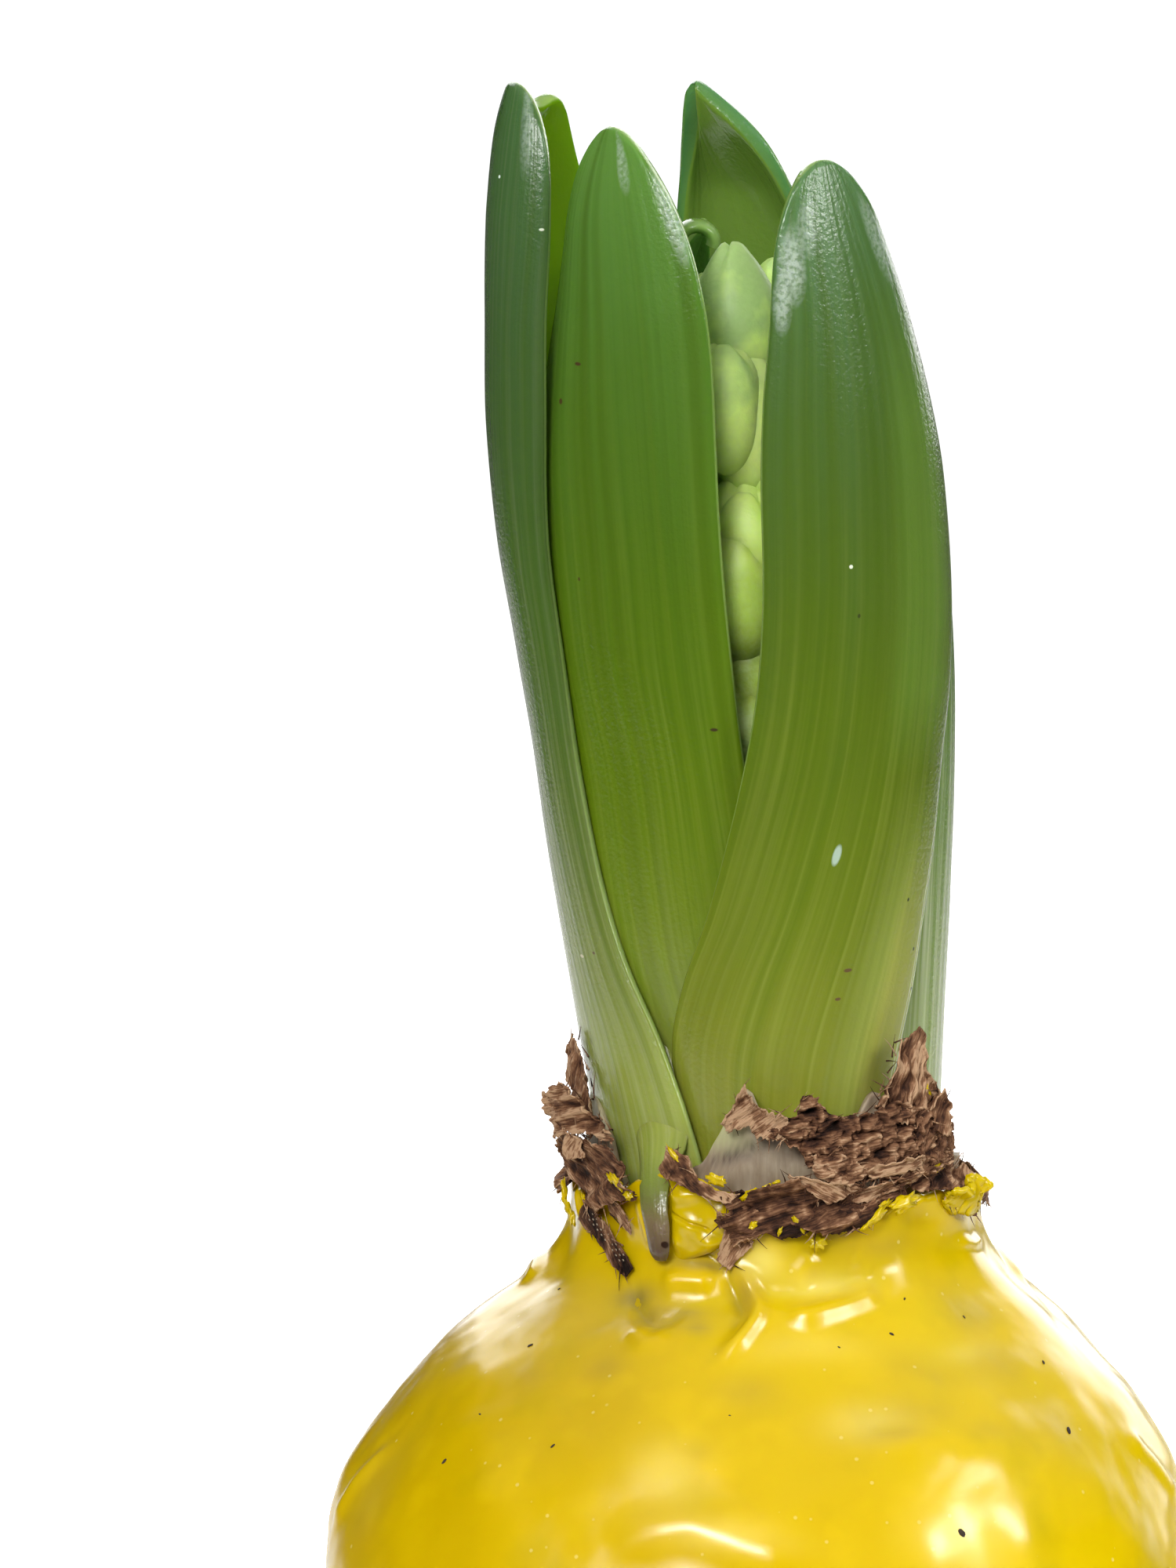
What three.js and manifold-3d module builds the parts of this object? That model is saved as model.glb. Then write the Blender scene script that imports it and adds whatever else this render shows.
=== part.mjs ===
// A hyacinth bulb dipped in yellow wax, sprouting: the wax coat, the bulb inside it with its pale
// neck, the torn brown skin round the neck, six strap leaves and the green flower spike they hold.
// Millimetres, +Z up. The origin is the middle of the flat spot that it stands on, and the side
// that is usually looked at faces -Y. Angles run from +X towards +Y, in degrees.
import * as THREE from "three";
import { ParametricGeometry } from "three/addons/geometries/ParametricGeometry.js";
import { mergeVertices } from "three/addons/utils/BufferGeometryUtils.js";
import Module from "manifold-3d";

const wasm = await Module();
wasm.setup();

// Driving dimensions
const bulbRadius = 32.5; // the widest part of the wax
const waistHeight = 26; // where it is widest
const footRadius = 13.5; // the flat spot
const neckRadius = 14.9; // the wax where the leaves come out
const neckShift = 1.1; // the neck stands this far to the right of the foot
const waxThickness = 1.5;
const waxAtNeck = 0.8;
const rimHeight = 57; // the wax ends here, on average
const collarHeight = 60.3; // and the bulb's pale neck here
const pocketFloor = 46.5; // the leaves and the flower stalk grow from here
const collarThickness = 0.8;
const fit = 0.3; // clearance between touching pieces
const leafTaper = 25; // a leaf narrows over this length, to its tip
const leanTop = 130; // the shoot leans to the left, by this height
const leanBy = 2.7;
const budLength = 11.6;
const budRadius = 3.3;
const budRise = 5.95; // from one ring of buds to the next

// Small helpers
const degrees = Math.PI / 180;
const clamp01 = (x) => Math.min(1, Math.max(0, x));
const ease = (low, high, x) => {
  const t = clamp01((x - low) / (high - low));
  return t * t * (3 - 2 * t);
};
const mix = (a, b, t) => a + (b - a) * t;

// A rounded peak of height 1 at an angle
function peak(angle, at, width) {
  const away = ((((angle - at) % 360) + 540) % 360) - 180;
  return Math.exp(-((away / width) ** 2));
}

// A smooth curve through rows of [height, value, value, ...], read at a height
function along(rows, z, column) {
  const last = rows.length - 1;
  if (z <= rows[0][0]) return rows[0][column];
  if (z >= rows[last][0]) return rows[last][column];
  let i = 0;
  while (rows[i + 1][0] < z) i += 1;
  const slope = (k) => {
    const below = rows[Math.max(k - 1, 0)];
    const above = rows[Math.min(k + 1, last)];
    return (above[column] - below[column]) / (above[0] - below[0]);
  };
  const span = rows[i + 1][0] - rows[i][0];
  const t = (z - rows[i][0]) / span;
  const [a, b] = [rows[i][column], rows[i + 1][column]];
  const rise = slope(i) * span;
  const fall = slope(i + 1) * span;
  return (
    a +
    rise * t +
    (3 * (b - a) - 2 * rise - fall) * t * t +
    (2 * (a - b) + rise + fall) * t * t * t
  );
}

// Seeded random numbers, the same in every run
function drawer(seed) {
  let state = seed;
  return () => {
    state = (state * 1664525 + 1013904223) % 4294967296;
    return state / 4294967296;
  };
}

// A closed surface as a solid: shared corners merged, collapsed triangles dropped
function solidFrom(geometry) {
  const bare = geometry.clone();
  bare.deleteAttribute("normal");
  bare.deleteAttribute("uv");
  const merged = mergeVertices(bare, 1e-3);
  const corners = [];
  for (let i = 0; i < merged.index.count; i += 3) {
    const [a, b, c] = [0, 1, 2].map((k) => merged.index.getX(i + k));
    if (a !== b && b !== c && c !== a) corners.push(a, b, c);
  }
  const made = new wasm.Manifold(
    new wasm.Mesh({
      numProp: 3,
      vertProperties: merged.attributes.position.array,
      triVerts: new Uint32Array(corners),
    }),
  );
  if (made.volume() < 0) throw new Error("a surface faces inwards");
  return made;
}

function geometryFrom(solid) {
  const { numProp, vertProperties, triVerts } = solid.getMesh();
  const positions = new Float32Array((vertProperties.length / numProp) * 3);
  for (let i = 0; i < positions.length / 3; i += 1) {
    positions.set(vertProperties.subarray(i * numProp, i * numProp + 3), i * 3);
  }
  const geometry = new THREE.BufferGeometry();
  geometry.setAttribute("position", new THREE.BufferAttribute(positions, 3));
  geometry.setIndex(new THREE.BufferAttribute(triVerts, 1));
  geometry.computeVertexNormals();
  return geometry;
}

// A closed surface from a formula over whole steps: around(i) of columns, up(j) of rows
function wrapped(columns, rows, place) {
  const surface = new ParametricGeometry(
    (u, v, target) => {
      place(Math.round(u * columns) % columns, Math.round(v * rows), target);
    },
    columns,
    rows,
  );
  return solidFrom(surface);
}

// The wax surface, as a distance from its axis at a height
const shoulder = [
  [26, 32.5],
  [32, 31.9],
  [37, 30.3],
  [41.6, 27.5],
  [45.9, 23.6],
  [48.9, 20.2],
  [51.3, 17.3],
  [53.5, 15.6],
  [56, neckRadius],
  [62, neckRadius + 0.3],
];

function waxRadius(z) {
  if (z >= waistHeight) return along(shoulder, z, 1);
  // Below the waist it is an ellipse, cut off where it is as wide as the foot
  const foot = Math.sqrt(1 - (footRadius / bulbRadius) ** 2);
  const drop = ((waistHeight - z) / waistHeight) * foot;
  return bulbRadius * Math.sqrt(1 - drop * drop);
}

// Hand-dipped wax is uneven: broad swellings and slacker waves, none at the foot
function waxSwell(angle, z) {
  const a = angle * degrees;
  const broad = 0.34 * Math.sin(3 * a + 1.3 + z * 0.06);
  const waves = 0.26 * Math.sin(5 * a - z * 0.13) + 0.17 * Math.sin(8 * a + z * 0.21);
  const neckFolds = 0.22 * ease(44, 54, z) * (1 + Math.sin(11 * a + z * 0.35));
  return (broad + waves) * ease(2, 14, z) * (1 - ease(44, 54, z)) + neckFolds;
}

// The ragged upper edge of the wax: a high flap in front, a low place beside it for the leaf's tail
function waxRim(angle) {
  return (
    rimHeight +
    4.3 * peak(angle, 247, 6) +
    1.4 * peak(angle, 226, 5) +
    0.6 * peak(angle, 350, 8) +
    1.3 * peak(angle, 96, 14) +
    0.5 * Math.sin(7 * angle * degrees)
  );
}

const axisShift = (z) => neckShift * ease(30, 52, z);

// A point of the wax's outer face, moved inwards along its normal by depth
function waxPoint(angle, z, depth, target) {
  const swell = waxSwell(angle, z);
  const slope = (waxRadius(z + 0.2) - waxRadius(Math.max(z - 0.2, 0))) / 0.4;
  const length = Math.hypot(1, slope);
  const r = waxRadius(z) + swell - depth / length;
  const a = angle * degrees;
  return target.set(
    axisShift(z) + r * Math.cos(a),
    r * Math.sin(a),
    z + (depth * slope) / length,
  );
}

const waxDepth = (z) => mix(waxThickness, waxAtNeck, ease(44, 55, z));

// The coat is one shell: up its outer face, over the rim and down its inner face
const waxSteps = 48;
const rimBlend = 50; // heights above this are stretched to meet the rim
const outerHeights = [2.2, 6, 11, 17, 23, 29, 34.5, 39, 42.8, 46, 48.6, 50.6, 52.6, 54.8, 57];
const innerHeights = [56.5, 53.5, 50, 47, 43, 37, 29, 20, 11, 4.5];

function waxCoat() {
  const stretched = (h, angle) => {
    if (h <= rimBlend) return h;
    return mix(rimBlend, waxRim(angle), (h - rimBlend) / (rimHeight - rimBlend));
  };
  const faces = [
    ...outerHeights.map((h) => [h, 0]),
    ...innerHeights.map((h) => [h, 1]),
  ];
  return wrapped(waxSteps, faces.length + 4, (i, j, target) => {
    const angle = (-i * 360) / waxSteps;
    const a = angle * degrees;
    const floorRadius = footRadius - waxThickness;
    if (j === 0) return target.set(0, 0, waxThickness);
    if (j === 1) {
      return target.set(floorRadius * Math.cos(a), floorRadius * Math.sin(a), waxThickness);
    }
    if (j === faces.length + 3) {
      return target.set(footRadius * Math.cos(a), footRadius * Math.sin(a), 0);
    }
    if (j === faces.length + 4) return target.set(0, 0, 0);
    const [h, inside] = faces[faces.length - 1 - (j - 2)] ?? faces[0];
    const z = stretched(h, angle);
    return waxPoint(angle, z, inside * waxDepth(z), target);
  });
}

// The bulb's pale neck: dry scale tips that stand up round the leaves, higher in three places
function collarTop(angle) {
  return (
    collarHeight +
    6.2 * peak(angle, 262, 12) +
    5.4 * peak(angle, 188, 9) +
    4 * peak(angle, 322, 10) +
    2.2 * peak(angle, 70, 25) -
    1.2 * peak(angle, 237, 6)
  );
}

// It opens a little above the wax, with the leaves
const collarRadius = (z) => neckRadius - waxAtNeck - fit + 0.14 * Math.max(0, z - 59);

const bulbHeights = [4.5, 11, 20, 29, 37, 43, 47, 50, 53.5];
const neckShares = [0, 0.5, 1];

function bulb() {
  const outer = bulbHeights.length;
  const neck = neckShares.length;
  const rows = 2 + 2 * neck + outer + 2;
  return wrapped(waxSteps, rows, (i, j, target) => {
    const angle = (-i * 360) / waxSteps;
    const a = angle * degrees;
    const ring = (r, z) => target.set(axisShift(z) + r * Math.cos(a), r * Math.sin(a), z);
    const neckZ = (share) => mix(54.5, collarTop(angle), share);
    const floorRadius = footRadius - waxThickness - 1.2;
    if (j === 0) return target.set(neckShift, 0, pocketFloor);
    if (j === 1) return ring(collarRadius(0) - collarThickness, pocketFloor);
    if (j < 2 + neck) {
      const z = neckZ(neckShares[j - 2]) - 0.1;
      return ring(collarRadius(z) - collarThickness, z);
    }
    if (j < 2 + 2 * neck) {
      const z = neckZ(neckShares[2 * neck + 1 - j]);
      return ring(collarRadius(z), z);
    }
    if (j < 2 + 2 * neck + outer) {
      const z = bulbHeights[outer - 1 - (j - 2 - 2 * neck)];
      return waxPoint(angle, z, waxDepth(z) + fit + 0.15 * ease(44, 52, z), target);
    }
    if (j === rows - 1) return ring(floorRadius, waxThickness + fit);
    return target.set(0, 0, waxThickness + fit);
  });
}

// The shoot's own axis: upright in the neck, then leaning a little to the left
const shootAxis = (z) => neckShift - leanBy * clamp01((z - 60) / (leanTop - 60));

// Each leaf by rows of [height, three angles, three distances from the shoot's axis]: its right-hand
// margin as seen from outside, its middle and its left-hand margin. The last row is the tip.
const leaves = [
  {
    name: "leaf_left",
    thickness: 1.7,
    rows: [
      [46.8, 122, 183, 244, 11.6, 11.8, 11.6],
      [59, 122, 183, 244, 11.6, 11.8, 11.7],
      [64, 123, 182, 241, 12.0, 12.3, 12.6],
      [70, 125, 181, 233, 12.2, 13.1, 13.3],
      [76, 128, 180, 222, 12.4, 13.9, 14.1],
      [82, 131, 179, 214, 12.6, 14.6, 14.5],
      [90, 135, 178, 207, 12.8, 15.4, 14.9],
      [98, 138, 178, 202.5, 13.0, 16.5, 15.2],
      [106, 140, 178, 199.5, 13.2, 17.6, 15.7],
      [115, 139, 178, 201, 13.5, 18.2, 15.7],
      [123, 138, 178, 203, 13.7, 18.1, 15.4],
      [131, 131, 179, 205, 13.2, 17.7, 14.8],
      [136, 127, 180, 206, 12.7, 17.3, 14.1],
      [139.7, 124, 181, 207, 12.0, 16.6, 13.4],
    ],
  },
  {
    name: "leaf_front_left",
    thickness: 1.7,
    rows: [
      [46.8, 196, 240, 284, 8.1, 8.1, 8.1],
      [60, 194, 239, 284, 8.6, 8.2, 8.1],
      [70, 191, 235, 279, 10.4, 9.4, 9.1],
      [80, 189, 229, 270, 11.9, 10.8, 10.4],
      [90, 188, 225, 264.5, 13.0, 11.8, 11.5],
      [100, 187, 223, 261, 13.7, 12.6, 12.3],
      [108, 186, 222.5, 259.7, 14.0, 13.0, 12.7],
      [115, 186, 222, 259.3, 13.9, 13.2, 12.8],
      [125, 188, 220, 260.5, 13.3, 12.9, 12.4],
      [132, 185, 216, 258, 12.4, 12.2, 11.6],
      [136.9, 180, 212, 252, 11, 10.9, 10.7],
    ],
  },
  {
    name: "leaf_front_right",
    thickness: 1.8,
    rows: [
      [46.8, 232, 272, 312, 9.8, 10.8, 11.5],
      [60, 230, 273, 313, 9.8, 11.1, 11.6],
      [66, 228.5, 275, 318, 10.5, 11.8, 12.0],
      [70, 229.5, 278, 324, 11.0, 12.2, 12.3],
      [74.6, 238.4, 284.5, 331, 11.8, 12.6, 12.7],
      [79.6, 249.5, 292, 337, 12.5, 13.0, 13.1],
      [85.4, 258, 299, 341, 12.9, 13.3, 13.7],
      [91, 264.4, 304, 344, 13.2, 13.6, 14.1],
      [96.4, 269.1, 307.5, 346.5, 13.3, 13.8, 14.4],
      [103, 271.9, 310, 348.5, 13.3, 13.9, 14.6],
      [111, 272.6, 311, 348.5, 13.3, 13.8, 14.3],
      [117, 272.6, 310.5, 346.5, 13.1, 13.5, 13.6],
      [123, 272, 309, 343.5, 12.8, 13.0, 12.6],
      [129, 268, 305, 338.5, 12.1, 12.3, 11.6],
      [134.8, 264, 301, 334, 11, 11.1, 10.9],
    ],
  },
  {
    name: "leaf_right",
    thickness: 1.5,
    rows: [
      [46.8, -60, 8, 75, 9.3, 11.5, 10.6],
      [60, -58, 8, 75, 9.3, 11.6, 10.8],
      [70, -48, 8, 72, 9.8, 12.3, 11.5],
      [80, -40, 8, 68, 10.3, 13.1, 12.4],
      [90, -34, 9, 64, 11.0, 13.8, 12.9],
      [100, -30, 10, 60, 11.1, 14.0, 13.0],
      [108, -28, 11, 57, 11.1, 13.5, 12.7],
      [118, -26, 12, 46, 10.5, 12.1, 12.2],
      [127, -24, 13, 50, 9.5, 10.2, 10.0],
    ],
  },
  {
    name: "leaf_back",
    thickness: 1.7,
    rows: [
      [46.8, 45, 90, 135, 8.9, 9.3, 9.8],
      [60, 45, 90, 135, 9.0, 9.4, 9.9],
      [70, 45, 90, 130, 9.6, 10.3, 10.7],
      [80, 46, 90, 125, 10.3, 11.2, 11.4],
      [90, 46, 89, 124, 10.7, 11.6, 11.6],
      [105, 46, 88, 123, 11.2, 12.1, 11.8],
      [118, 45, 86, 121, 11.2, 12.3, 12.0],
      [125, 42, 84, 117, 9.5, 12.4, 11.7],
      [131, 46, 84, 121, 5.8, 12.1, 11.0],
      [135, 45, 89, 132, 2.5, 10.9, 8.8],
      [139.4, 50, 107, 140, 2, 8.4, 6],
    ],
  },
  {
    name: "leaf_inner",
    thickness: 1.2,
    rows: [
      [46.8, 98, 130, 162, 6.9, 6.9, 6.9],
      [60, 100, 132, 164, 7.3, 7.3, 7.3],
      [70, 106, 138, 168, 8.8, 8.8, 8.8],
      [80, 116, 146, 174, 9.9, 10.1, 10.3],
      [90, 126, 152, 178, 10.2, 10.5, 10.8],
      [100, 122, 150, 178, 10.1, 10.6, 10.9],
      [110, 112, 142, 172, 9.6, 10.3, 10.6],
      [118, 100, 132, 164, 8.6, 9.7, 9.5],
      [124, 95, 126, 158, 7.2, 8.4, 8.1],
      [129.3, 95, 122, 150, 4.2, 4.7, 4.6],
    ],
  },
];

// How wide a leaf still is at a height: full, then rounding off to its tip
function leafShare(leaf, z) {
  const tip = leaf.rows.at(-1)[0];
  const into = clamp01((z - (tip - leafTaper)) / leafTaper);
  return Math.sqrt(1 - into * into);
}

// The middle of a leaf's thickness. across runs from -1 at one margin to 1 at the other.
function leafPoint(leaf, across, z, share) {
  const value = (first) => {
    const [low, middle, high] = [0, 1, 2].map((k) => along(leaf.rows, z, first + k));
    const lift = ((high - low) / 2) * across + ((low + high) / 2 - middle) * across * across;
    return middle + share * lift;
  };
  const angle = value(1) * degrees;
  const r = value(4);
  return new THREE.Vector3(shootAxis(z) + r * Math.cos(angle), r * Math.sin(angle), z);
}

// The way out of a leaf's outer face
function leafNormal(leaf, across, z) {
  const step = 0.02;
  const left = leafPoint(leaf, across - step, z, 1);
  const right = leafPoint(leaf, across + step, z, 1);
  const flat = right.sub(left).normalize();
  const normal = new THREE.Vector3(flat.y, -flat.x, 0);
  const below = leafPoint(leaf, across, z - 0.5, leafShare(leaf, z - 0.5));
  const here = leafPoint(leaf, across, z, leafShare(leaf, z));
  const slope = here.sub(below).dot(normal) / 0.5;
  normal.z = -Math.max(-1.2, Math.min(1.2, slope));
  return normal.normalize();
}

const leafAcross = 8;
const leafBody = 10;
const leafTip = 6;

function leaf(plan) {
  const [bottom, tip] = [plan.rows[0][0], plan.rows.at(-1)[0]];
  const body = tip - leafTaper - bottom;
  const height = (j) => {
    if (j <= leafBody) return bottom + (body * j) / leafBody;
    return tip - leafTaper + leafTaper * Math.sin((((j - leafBody) / leafTip) * Math.PI) / 2);
  };
  const rows = leafBody + leafTip;
  const around = 2 * (leafAcross + 1);
  return wrapped(around, rows + 1, (i, j, target) => {
    const row = Math.max(j - 1, 0); // the first two rings lie at one height, and close the foot
    const z = height(row);
    const outside = i <= leafAcross;
    const step = outside ? i : around - 1 - i;
    const across = (2 * step) / leafAcross - 1;
    const share = leafShare(plan, z);
    const middle = leafPoint(plan, across, z, share);
    const closed = j === 0 || j === rows + 1;
    const half = (plan.thickness / 2) * (1 - 0.42 * across * across) * (0.6 + 0.4 * share);
    const normal = leafNormal(plan, across, z);
    target.copy(middle).addScaledVector(normal, closed ? 0 : outside ? half : -half);
  });
}

// The left leaf has a strip torn from its foot, which hangs out over the wax
const tailEnd = 54.7;
const tailTop = 67;
const tailRows = [
  // height, distance from the neck's axis, half width, half thickness, angle
  [tailEnd, 16.2, 0.35, 0.3, 238],
  [55.6, 16.1, 0.75, 0.45, 238],
  [58, 15.95, 0.95, 0.5, 237.5],
  [59.7, 15.6, 1.2, 0.5, 236.5],
  [61.2, 14.7, 1.7, 0.6, 234],
  [62.8, 13.5, 2.2, 0.6, 231.5],
  [64.5, 12.7, 2.4, 0.5, 229.5],
  [tailTop, 12.4, 2.2, 0.3, 227],
];

function leafTail() {
  const around = 8;
  const rows = 10;
  return wrapped(around, rows + 2, (i, j, target) => {
    const share = clamp01((j - 1) / rows);
    const z = mix(tailEnd, tailTop, share);
    const a = -((i + 0.5) / around) * 2 * Math.PI;
    const closed = j === 0 || j === rows + 2 ? 0 : 1;
    const [r, wide, thick, at] = [1, 2, 3, 4].map((k) => along(tailRows, z, k));
    const out = r + closed * thick * Math.sign(Math.sin(a));
    const side = closed * wide * Math.cos(a);
    const angle = at * degrees;
    target.set(
      neckShift + out * Math.cos(angle) - side * Math.sin(angle),
      out * Math.sin(angle) + side * Math.cos(angle),
      z,
    );
  });
}

// One closed flower bud, standing on its stalk end, made round and then placed
const budSides = 8;
const budOutline = [
  [0.02, 0.3],
  [0.1, 0.66],
  [0.3, 0.93],
  [0.55, 1],
  [0.8, 0.93],
  [0.94, 0.62],
];

function bud(length, radius) {
  const points = [
    new THREE.Vector2(0, 0),
    ...budOutline.map(([up, out]) => new THREE.Vector2(out * radius, up * length)),
    new THREE.Vector2(0, length),
  ];
  const round = new THREE.LatheGeometry(points, budSides);
  round.rotateX(Math.PI / 2);
  return round;
}

// Six upright files of buds, in rings of three that alternate, and three more at the top
const budRings = 8;
const firstBud = 69.45; // the lowest bud's foot
const fileAngle = 266; // the file seen between the two front leaves
const topBudFoot = 116.5;

function budPlaces() {
  const draw = drawer(7);
  const places = [];
  for (let ring = 0; ring < budRings; ring += 1) {
    for (let side = 0; side < 3; side += 1) {
      const jitter = draw() - 0.5;
      const z = firstBud + budRise * ring + 0.8 * side * (side === 2 ? -0.5 : 1);
      const narrow = ring === 0 ? 0.84 : ring === budRings - 1 ? 0.92 : 1;
      places.push({
        angle: fileAngle + 60 * (ring + 1) + 120 * side + 5 * jitter,
        foot: z,
        out: ring === 0 ? 3.6 : ring === budRings - 1 ? 4.6 : 5.1,
        lean: ring === budRings - 1 ? 3 : 8,
        length: budLength * narrow,
        radius: budRadius * narrow,
      });
    }
  }
  for (let side = 0; side < 3; side += 1) {
    places.push({
      angle: fileAngle + 2 + 120 * side,
      foot: topBudFoot - 1.2 * side,
      out: 3.3,
      lean: 1,
      length: budLength,
      radius: budRadius,
    });
  }
  return places;
}

// The flower stalk with its buds, as one solid: a core fills the middle, between the buds
function flowerSpike() {
  const core = new THREE.LatheGeometry(
    [
      [0, 46.8],
      [3.9, 46.8],
      [4.1, 60],
      [3.9, 70],
      [4.6, 78],
      [4.8, 112],
      [2.4, 124],
      [0, 126],
    ].map(([r, z]) => new THREE.Vector2(r, z)),
    12,
  );
  core.rotateX(Math.PI / 2);
  const solids = [solidFrom(core)];
  for (const place of budPlaces()) {
    const made = bud(place.length, place.radius);
    made.rotateY(place.lean * degrees);
    made.translate(place.out, 0, place.foot);
    made.rotateZ(place.angle * degrees);
    solids.push(solidFrom(made));
  }
  const leaned = wasm.Manifold.union(solids);
  return leaned.warp((corner) => {
    corner[0] += shootAxis(corner[2]);
  });
}

// Torn brown skin, each piece by its span of angles, its peaks and how it stands off the neck
const skinThickness = 0.7;
const skins = [
  {
    name: "tunic_left",
    from: 160,
    to: 225,
    low: 57.6,
    top: 61.3,
    peaks: [
      [192, 3.5, 7.6],
      [176, 5, 3.4],
      [206, 5, 1.6],
    ],
  },
  {
    name: "tunic_front",
    from: 255,
    to: 307,
    low: 56.7,
    top: 59.8,
    peaks: [
      [283, 4.5, 5.6],
      [292, 5, 4.4],
      [302, 5, 5.2],
    ],
  },
  {
    name: "tunic_right",
    from: 310,
    to: 385,
    low: 57.8,
    top: 60.2,
    peaks: [
      [315, 4.5, 9.3],
      [325, 4, 6.3],
      [345, 5, 0.8],
      [370, 5, 1.8],
    ],
  },
  {
    name: "tunic_back",
    from: 35,
    to: 152,
    low: 56.2,
    top: 61.4,
    peaks: [
      [58, 6, 3.4],
      [88, 5, 1.8],
      [120, 7, 4],
    ],
  },
];
const skinRows = 5;
const skinStep = 2.9; // degrees from one column of corners to the next

function skin(plan) {
  const columns = Math.round((plan.to - plan.from) / skinStep);
  const around = 2 * (columns + 1);
  return wrapped(around, skinRows + 2, (i, j, target) => {
    const outside = i <= columns;
    const step = outside ? i : around - 1 - i;
    const angle = mix(plan.from, plan.to, step / columns);
    const share = clamp01((j - 1) / skinRows);
    const ragged = 0.4 * Math.sin(angle * 0.37) + 0.3 * Math.sin(angle * 0.71 + 1);
    const top = plan.peaks.reduce(
      (height, [at, width, rise]) => height + rise * peak(angle, at, width),
      plan.top + ragged,
    );
    const z = mix(plan.low + ragged, top, share);
    const closed = j === 0 || j === skinRows + 2 ? 0 : 1;
    const waxFace = waxRadius(z) + Math.max(0, waxSwell(angle, z));
    const neckFace = collarRadius(z) + 0.05;
    const seat = mix(waxFace, neckFace, ease(waxRim(angle) + 0.3, waxRim(angle) + 1.9, z));
    const crumple = 0.22 * (1 + Math.sin(angle * 0.33 + z * 0.9)) * ease(0, 0.3, share);
    const middle = seat + fit + skinThickness / 2 + 0.2 + crumple;
    const r = middle + (closed * skinThickness * (outside ? 1 : -1)) / 2;
    const a = angle * degrees;
    target.set(axisShift(z) + r * Math.cos(a), r * Math.sin(a), z);
  });
}

// The scene graph
const waxFinish = { color: 0xf2c70f, roughness: 0.22, metalness: 0 };
const scaleFinish = { color: 0xcfc4ae, roughness: 0.6, metalness: 0 };
const skinFinish = { color: 0x6d4a38, roughness: 0.9, metalness: 0 };
const leafFinish = { color: 0x5f8c2a, roughness: 0.4, metalness: 0 };
const budFinish = { color: 0x9abf5f, roughness: 0.55, metalness: 0 };

const hyacinth = new THREE.Group();

function add(name, solid, finish) {
  const mesh = new THREE.Mesh(geometryFrom(solid), new THREE.MeshStandardMaterial(finish));
  mesh.name = name;
  hyacinth.add(mesh);
}

add("wax_coat", waxCoat(), waxFinish);
add("bulb", bulb(), scaleFinish);
for (const plan of skins) add(plan.name, skin(plan), skinFinish);
for (const plan of leaves) {
  const whole = plan.name === "leaf_left" ? leaf(plan).add(leafTail()) : leaf(plan);
  add(plan.name, whole, leafFinish);
}
add("flower_spike", flowerSpike(), budFinish);

export default hyacinth;
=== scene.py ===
import functools
import math
import random
import bpy
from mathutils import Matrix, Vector, noise


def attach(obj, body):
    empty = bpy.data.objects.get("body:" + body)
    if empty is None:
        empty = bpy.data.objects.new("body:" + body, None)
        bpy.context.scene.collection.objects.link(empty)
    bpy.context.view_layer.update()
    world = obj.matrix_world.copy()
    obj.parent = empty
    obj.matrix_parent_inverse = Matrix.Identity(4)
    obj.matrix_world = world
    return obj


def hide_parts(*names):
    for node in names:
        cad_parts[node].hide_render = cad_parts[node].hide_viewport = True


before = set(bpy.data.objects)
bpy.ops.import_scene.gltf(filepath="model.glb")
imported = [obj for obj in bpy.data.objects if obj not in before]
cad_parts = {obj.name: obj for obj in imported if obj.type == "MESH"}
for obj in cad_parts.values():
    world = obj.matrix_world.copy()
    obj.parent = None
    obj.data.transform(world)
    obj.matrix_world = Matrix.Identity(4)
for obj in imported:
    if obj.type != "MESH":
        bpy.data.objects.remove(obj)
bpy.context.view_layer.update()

# A hyacinth bulb dipped in yellow wax, with its leaves and green flower spike just out of the neck.
# Tables are in millimetres and degrees, as in the CAD source, and become metres in the meshes.
mm = 0.001


# Small helpers

def linear(code):
    # sRGB hex to a linear colour with alpha
    parts = [int(code[k:k + 2], 16) / 255 for k in (1, 3, 5)]
    return [p / 12.92 if p <= 0.04045 else ((p + 0.055) / 1.055) ** 2.4 for p in parts] + [1.0]


def clamp01(x):
    return min(1.0, max(0.0, x))


def ease(low, high, x):
    t = clamp01((x - low) / (high - low))
    return t * t * (3 - 2 * t)


def mix(a, b, t):
    return a + (b - a) * t


def peak(angle, at, width):
    # a rounded peak of height 1 at an angle
    away = (angle - at + 180) % 360 - 180
    return math.exp(-(away / width) ** 2)


def along(rows, x, column):
    # a smooth curve through rows of [x, value, value, ...]
    last = len(rows) - 1
    if x <= rows[0][0]:
        return rows[0][column]
    if x >= rows[last][0]:
        return rows[last][column]
    i = 0
    while rows[i + 1][0] < x:
        i += 1

    def slope(k):
        below = rows[max(k - 1, 0)]
        above = rows[min(k + 1, last)]
        return (above[column] - below[column]) / (above[0] - below[0])

    span = rows[i + 1][0] - rows[i][0]
    t = (x - rows[i][0]) / span
    a, b = rows[i][column], rows[i + 1][column]
    rise, fall = slope(i) * span, slope(i + 1) * span
    return a + rise * t + (3 * (b - a) - 2 * rise - fall) * t * t + (2 * (a - b) + rise + fall) * t ** 3


def rough(x, y, z, octaves):
    # smooth random value, about -1 to 1
    return noise.fractal(Vector((x, y, z)), 0.7, 2.1, octaves)


def polar(angle, r, z, middle=0.0):
    # the point at an angle and a distance from an upright axis, which stands at x = middle
    a = math.radians(angle)
    return Vector((middle + r * math.cos(a), r * math.sin(a), z))


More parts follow.
